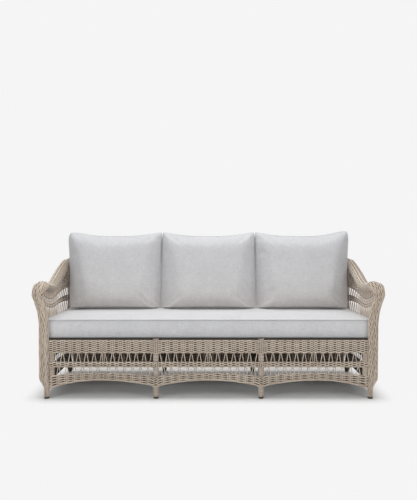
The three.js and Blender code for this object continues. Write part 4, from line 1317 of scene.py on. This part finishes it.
def calmed(mesh, moved, held, rounds):
    """The move of each point averaged with its neighbours', so that only soft folds are left."""
    edges = np.empty(len(mesh.edges) * 2, np.int32)
    mesh.edges.foreach_get("vertices", edges)
    first, second = edges.reshape(-1, 2).T
    count = np.bincount(edges, minlength=len(moved))[:, None]
    for _ in range(rounds):
        total = np.zeros_like(moved)
        np.add.at(total, first, moved[second])
        np.add.at(total, second, moved[first])
        moved = (moved + total / count) / 2
        moved[held] = 0
    return moved


def set_points(mesh, points):
    mesh.vertices.foreach_set("co", points.astype(np.float32).ravel())
    mesh.update()


def smooth(piece):
    subdivision = piece.modifiers.new("Subdivision", "SUBSURF")
    subdivision.levels = 1
    subdivision.render_levels = 1


def piping(name, line, normals, size, cover, material):
    """The covered cord sewn into a seam. It is one closed run."""
    strands = Strands(7)
    line, normals = (np.vstack([rows, rows[:1]]) for rows in (line, normals))
    strands.add(line, normals, size, size, sides=8, tone=0.5)
    cord = strands.build(name, material)
    cord.parent = cover
    cord.matrix_parent_inverse = cover.matrix_world.inverted()


def seat_faces(low, high):
    """The seat cushion's top and bottom, as grids of points, and how high each point of the top may go."""
    middle = (high.y + low.y) / 2
    u, v = share_grid(SEAT_CELLS)
    x = u * ((high.x - low.x) / 2 - SEAT_PULL * crown(v, SEAT_PULL_POWERS[0]))
    y = middle + v * ((high.y - low.y) / 2 - SEAT_PULL * crown(u, SEAT_PULL_POWERS[1]))
    rim = high.z - SEAT_CROWN - SEAT_END_DROP * np.abs(u) ** SEAT_END_POWER * (1 + v) / 2
    rise = SEAT_CROWN * crown(u, SEAT_CROWN_POWERS[0]) * crown(v, SEAT_CROWN_POWERS[1])
    top = np.stack([x, y, rim + SEAT_START_SHARE * rise], -1)
    bottom = np.stack([x, y, np.full(x.shape, low.z)], -1)
    return top, bottom, (rim + rise).ravel()


def seat_sides(top, bottom, rim_top, rim_bottom):
    """The cover between its two rims: layers of points, their places on the cloth, and the squares."""
    layers = SEAT_CELLS[2]
    upper, lower = top[rim_top], bottom[rim_top]
    around = np.cumsum(np.linalg.norm(np.diff(upper, axis=0, prepend=upper[:1]), axis=1))
    points = [lower + (upper - lower) * k / layers for k in range(1, layers)]
    lay = [np.stack([around, layer[:, 2]], -1) for layer in points]
    first = 2 * len(top)
    loops = [first + k * len(rim_top) + np.arange(len(rim_top)) for k in range(layers - 1)]
    loops = [rim_bottom, *loops, rim_top]
    quads = [np.stack([a, np.roll(a, -1), np.roll(b, -1), b], -1) for a, b in zip(loops[:-1], loops[1:])]
    return points, lay, quads


def seat_cushion():
    low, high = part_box("seat_cushion")
    top, bottom, ceiling = seat_faces(low, high)
    top_index = np.arange(len(ceiling)).reshape(top.shape[:2])
    bottom_index = top_index + top_index.size
    rim_top, rim_bottom = rim_of(top_index), rim_of(bottom_index)
    top, bottom = top.reshape(-1, 3), bottom.reshape(-1, 3)
    points, lay, quads = seat_sides(top, bottom, rim_top, rim_bottom)
    points = np.concatenate([top, bottom, *points])
    lay = np.concatenate([top[:, :2], bottom[:, :2], *lay])
    lay = np.hstack([lay, np.full((len(lay), 1), 0.5)])
    quads = np.concatenate([skin_quads(top_index, False), skin_quads(bottom_index, True), *quads])
    piece = mesh_object("seat_cushion", points, quads, SEAT_FABRIC, lay)
    inflate(piece, np.concatenate([rim_top, bottom_index.ravel()]), SEAT_REACH, SEAT_CALM_ROUNDS)
    settled = points_of(piece.data)
    settled[: len(top), 2] = np.minimum(settled[: len(top), 2], ceiling)
    set_points(piece.data, settled)
    smooth(piece)
    finish_piece(piece, "seat_cushion", "seat_cushion")
    outward = unit((top[rim_top] - [0, (high.y + low.y) / 2, 0]) * (1, 1, 0))
    for name, rim, lift in (("top", rim_top, TOP_PIPING_LIFT), ("bottom", rim_bottom, BOTTOM_PIPING_LIFT)):
        line = settled[rim] + (0, 0, lift) - outward * PIPING_INSET
        piping(f"seat_cushion_piping_{name}", line, outward, PIPING, piece, SHADED_PIPING_FABRIC)


def back_form(half_width, outer):
    """A back cushion's grid: places across and up it, half its thickness there, and how far it has
    slumped forward."""
    a, b = share_grid(BACK_CELLS, RIM_EASE_SHARE)
    fall_across, fall_up = crown(a, BACK_CROWN_POWERS[0]), crown(b, BACK_CROWN_POWERS[1])
    slump = BACK_SLUMP * ((1 - b) / 2) ** 2 * (1 - BACK_SLUMP_LOSS_SHARE * (1 - fall_across))
    taper = np.where(a * outer > 0, BACK_TAPER * (1 - b) / 2, 0)
    outer_share = np.clip(a * outer, 0, 1)
    high_share = (1 + b) / 2
    corner_pull = BACK_CORNER_PULL + BACK_OUTER_CORNER_PULL * outer_share * high_share
    corner_across, corner_up = (corner_pull * np.abs(s) ** BACK_CORNER_POWER for s in (b, a))
    flare = BACK_FLARE * outer_share**2 * high_share**4
    x = a * (half_width - BACK_SIDE_PULL * fall_up - taper - corner_across + flare)
    z = b * (BACK_HEIGHT / 2 - corner_up) - BACK_TOP_PULL * high_share * crown(a, BACK_TOP_POWER)
    z = z - slump * math.sin(BACK_TILT) + BACK_EAR[outer] * outer_share**3 * high_share**2
    puff = BACK_THICKNESS / 2 * np.sqrt(fall_across * fall_up)
    return x, z, puff, slump * math.cos(BACK_TILT)


def back_cushion(name, outer):
    """A loose back cushion. outer is the side on which nothing stands beside it, -1, 1 or 0."""
    node = f"back_cushion_{name}"
    low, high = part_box("back_cushion_middle")
    width = high.x - low.x
    up = np.array([0, math.sin(BACK_TILT), math.cos(BACK_TILT)])
    front = np.array([0, -math.cos(BACK_TILT), math.sin(BACK_TILT)])
    middle_height = low.z + BACK_HEIGHT / 2 * math.cos(BACK_TILT) - BACK_SETTLE
    centre = np.array([outer * (width + BACK_PITCH_GAP), WALL_DEPTH - BACK_SET_IN + FRONT, middle_height])
    x, z, puff, slump = back_form(width / 2 + BACK_WIDENING, outer)
    flat = centre + x[..., None] * (1, 0, 0) + z[..., None] * up + slump[..., None] * front
    bulge = (BACK_START_SHARE * puff)[..., None] * front
    front_face, back_face = (flat + bulge).reshape(-1, 3), (flat - bulge).reshape(-1, 3)
    front_index = np.arange(x.size).reshape(x.shape)
    back_index = front_index.copy()
    inner = front_index[1:-1, 1:-1].copy()
    back_index[1:-1, 1:-1] = x.size + np.arange(inner.size).reshape(inner.shape)
    inner = inner.ravel()
    points = np.vstack([front_face, back_face[inner]])
    points[:, 2] = np.maximum(points[:, 2], low.z)
    lay = np.stack([x, z, np.full(x.shape, 0.5)], -1).reshape(-1, 3)
    quads = np.vstack([skin_quads(front_index, False), skin_quads(back_index, True)])
    piece = mesh_object(node, points, quads, BACK_FABRIC, np.vstack([lay, lay[inner]]))
    rim = rim_of(front_index)
    inflate(piece, rim, BACK_REACH, BACK_CALM_ROUNDS)
    settled = points_of(piece.data)
    settled[:, 2] = np.maximum(settled[:, 2], low.z)
    set_points(piece.data, settled)
    smooth(piece)
    finish_piece(piece, node, node)
    line = settled[rim]
    line[:, 2] = np.maximum(line[:, 2], low.z + BACK_PIPING / 2)
    facing_front = np.tile(front, (len(rim), 1))
    piping(f"{node}_piping", line, facing_front, BACK_PIPING, piece, BACK_FABRIC)


seat_cushion()
for cushion_name, outer_way in (("left", -1), ("middle", 0), ("right", 1)):
    back_cushion(cushion_name, outer_way)


# CAD nodes that stay get their finish
for node_name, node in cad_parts.items():
    if node_name.startswith("glide"):
        finish = GLIDE
    elif node_name == "seat_deck":
        finish = DECK
    elif any(word in node_name for word in ("tube", "core", "rail", "bearer")):
        finish = METAL
    else:
        continue
    for material_slot in node.material_slots:
        material_slot.material = finish


# Stage

BACKGROUND = (0.913, 0.913, 0.913, 1)
STUDIO_LIGHT = 0.19
FLOOR_COLOUR = (0.93, 0.93, 0.93, 1)
FLOOR_HALF_SIZE = 14.0
SHADOW_HALF_SIZE = (0.97, 0.385, 0)
SHADOW_FADE = 0.16
# Each lamp's name, place, aim, size and power
LAMPS = (
    ("key", (-0.4, -3.4, 3.2), (0, 0, 0.4), (3.2, 2.2), 28),
    ("fill_left", (-2.6, -3.2, 1.5), (0, 0, 0.5), (1.8, 1.8), 27),
    ("fill_right", (2.6, -3.2, 1.5), (0, 0, 0.5), (1.8, 1.8), 27),
    ("top", (0, 0.2, 3.4), (0, 0, 0.4), (4.0, 3.0), 92),
    ("back", (0, 4.0, 1.3), (0, 0.3, 0.0), (5.0, 0.9), 80),
)


def background_rays(tree):
    """1 for the rays that see the plain background: the camera's, reflections and those through glass."""
    path = add_node(tree, "ShaderNodeLightPath").outputs
    shown = maths(tree, "MAXIMUM", path["Is Camera Ray"], path["Is Glossy Ray"])
    return maths(tree, "MAXIMUM", shown, path["Is Transmission Ray"])


def blend_shaders(tree, factor, a, b, output):
    blend = add_node(tree, "ShaderNodeMixShader", {0: factor, 1: a.outputs[0], 2: b.outputs[0]})
    tree.links.new(blend.outputs[0], tree.nodes[output].inputs["Surface"])


def floor_material():
    """A pale floor that takes shadows near the sofa and fades into the plain background beyond them."""
    material, tree, shader = new_material("floor", 0.9)
    shader.inputs["Base Color"].default_value = FLOOR_COLOUR
    shader.inputs["Specular IOR Level"].default_value = 0.1
    past = vector_maths(tree, "ABSOLUTE", object_place(tree))
    past = vector_maths(tree, "SUBTRACT", past, SHADOW_HALF_SIZE)
    past = vector_maths(tree, "MAXIMUM", past, (0, 0, 0))
    distance = add_node(tree, "ShaderNodeVectorMath", {0: past}, operation="LENGTH").outputs["Value"]
    far = ranged(tree, distance, (0, SHADOW_FADE), interpolation="SMOOTHSTEP")
    factor = maths(tree, "MULTIPLY", far, background_rays(tree))
    glow = add_node(tree, "ShaderNodeEmission", {"Color": BACKGROUND, "Strength": 1.0})
    blend_shaders(tree, factor, shader, glow, "Material Output")
    return material


def stage():
    size = FLOOR_HALF_SIZE
    points = np.array([[-size, -size, 0], [size, -size, 0], [size, size, 0], [-size, size, 0]])
    mesh_object("floor", points, np.array([[0, 1, 2, 3]]), floor_material())
    world = bpy.data.worlds.new("studio")
    bpy.context.scene.world = world
    world.use_nodes = True
    tree = world.node_tree
    light = tree.nodes["Background"]
    light.inputs["Color"].default_value = (1, 1, 1, 1)
    light.inputs["Strength"].default_value = STUDIO_LIGHT
    plain = add_node(tree, "ShaderNodeBackground", {"Color": BACKGROUND, "Strength": 1.0})
    blend_shaders(tree, background_rays(tree), light, plain, "World Output")


def area_lamp(name, place, aim, size, power):
    lamp = bpy.data.lights.new(name, "AREA")
    lamp.shape = "RECTANGLE"
    lamp.size, lamp.size_y = size
    lamp.energy = power
    lamp_object = bpy.data.objects.new(name, lamp)
    bpy.context.scene.collection.objects.link(lamp_object)
    lamp_object.location = place
    lamp_object.rotation_euler = (Vector(aim) - Vector(place)).to_track_quat("-Z", "Y").to_euler()


def camera():
    data = bpy.data.cameras.new("camera")
    data.lens = CAMERA_LENS
    data.sensor_width = CAMERA_SENSOR
    view = bpy.data.objects.new("camera", data)
    bpy.context.scene.collection.objects.link(view)
    view.location = (0, FRONT - CAMERA_DISTANCE, CAMERA_HEIGHT)
    view.rotation_euler = (math.pi / 2 - CAMERA_PITCH, 0, 0)
    bpy.context.scene.camera = view


stage()
for lamp_settings in LAMPS:
    area_lamp(*lamp_settings)
camera()
bpy.context.scene.view_settings.view_transform = "Standard"
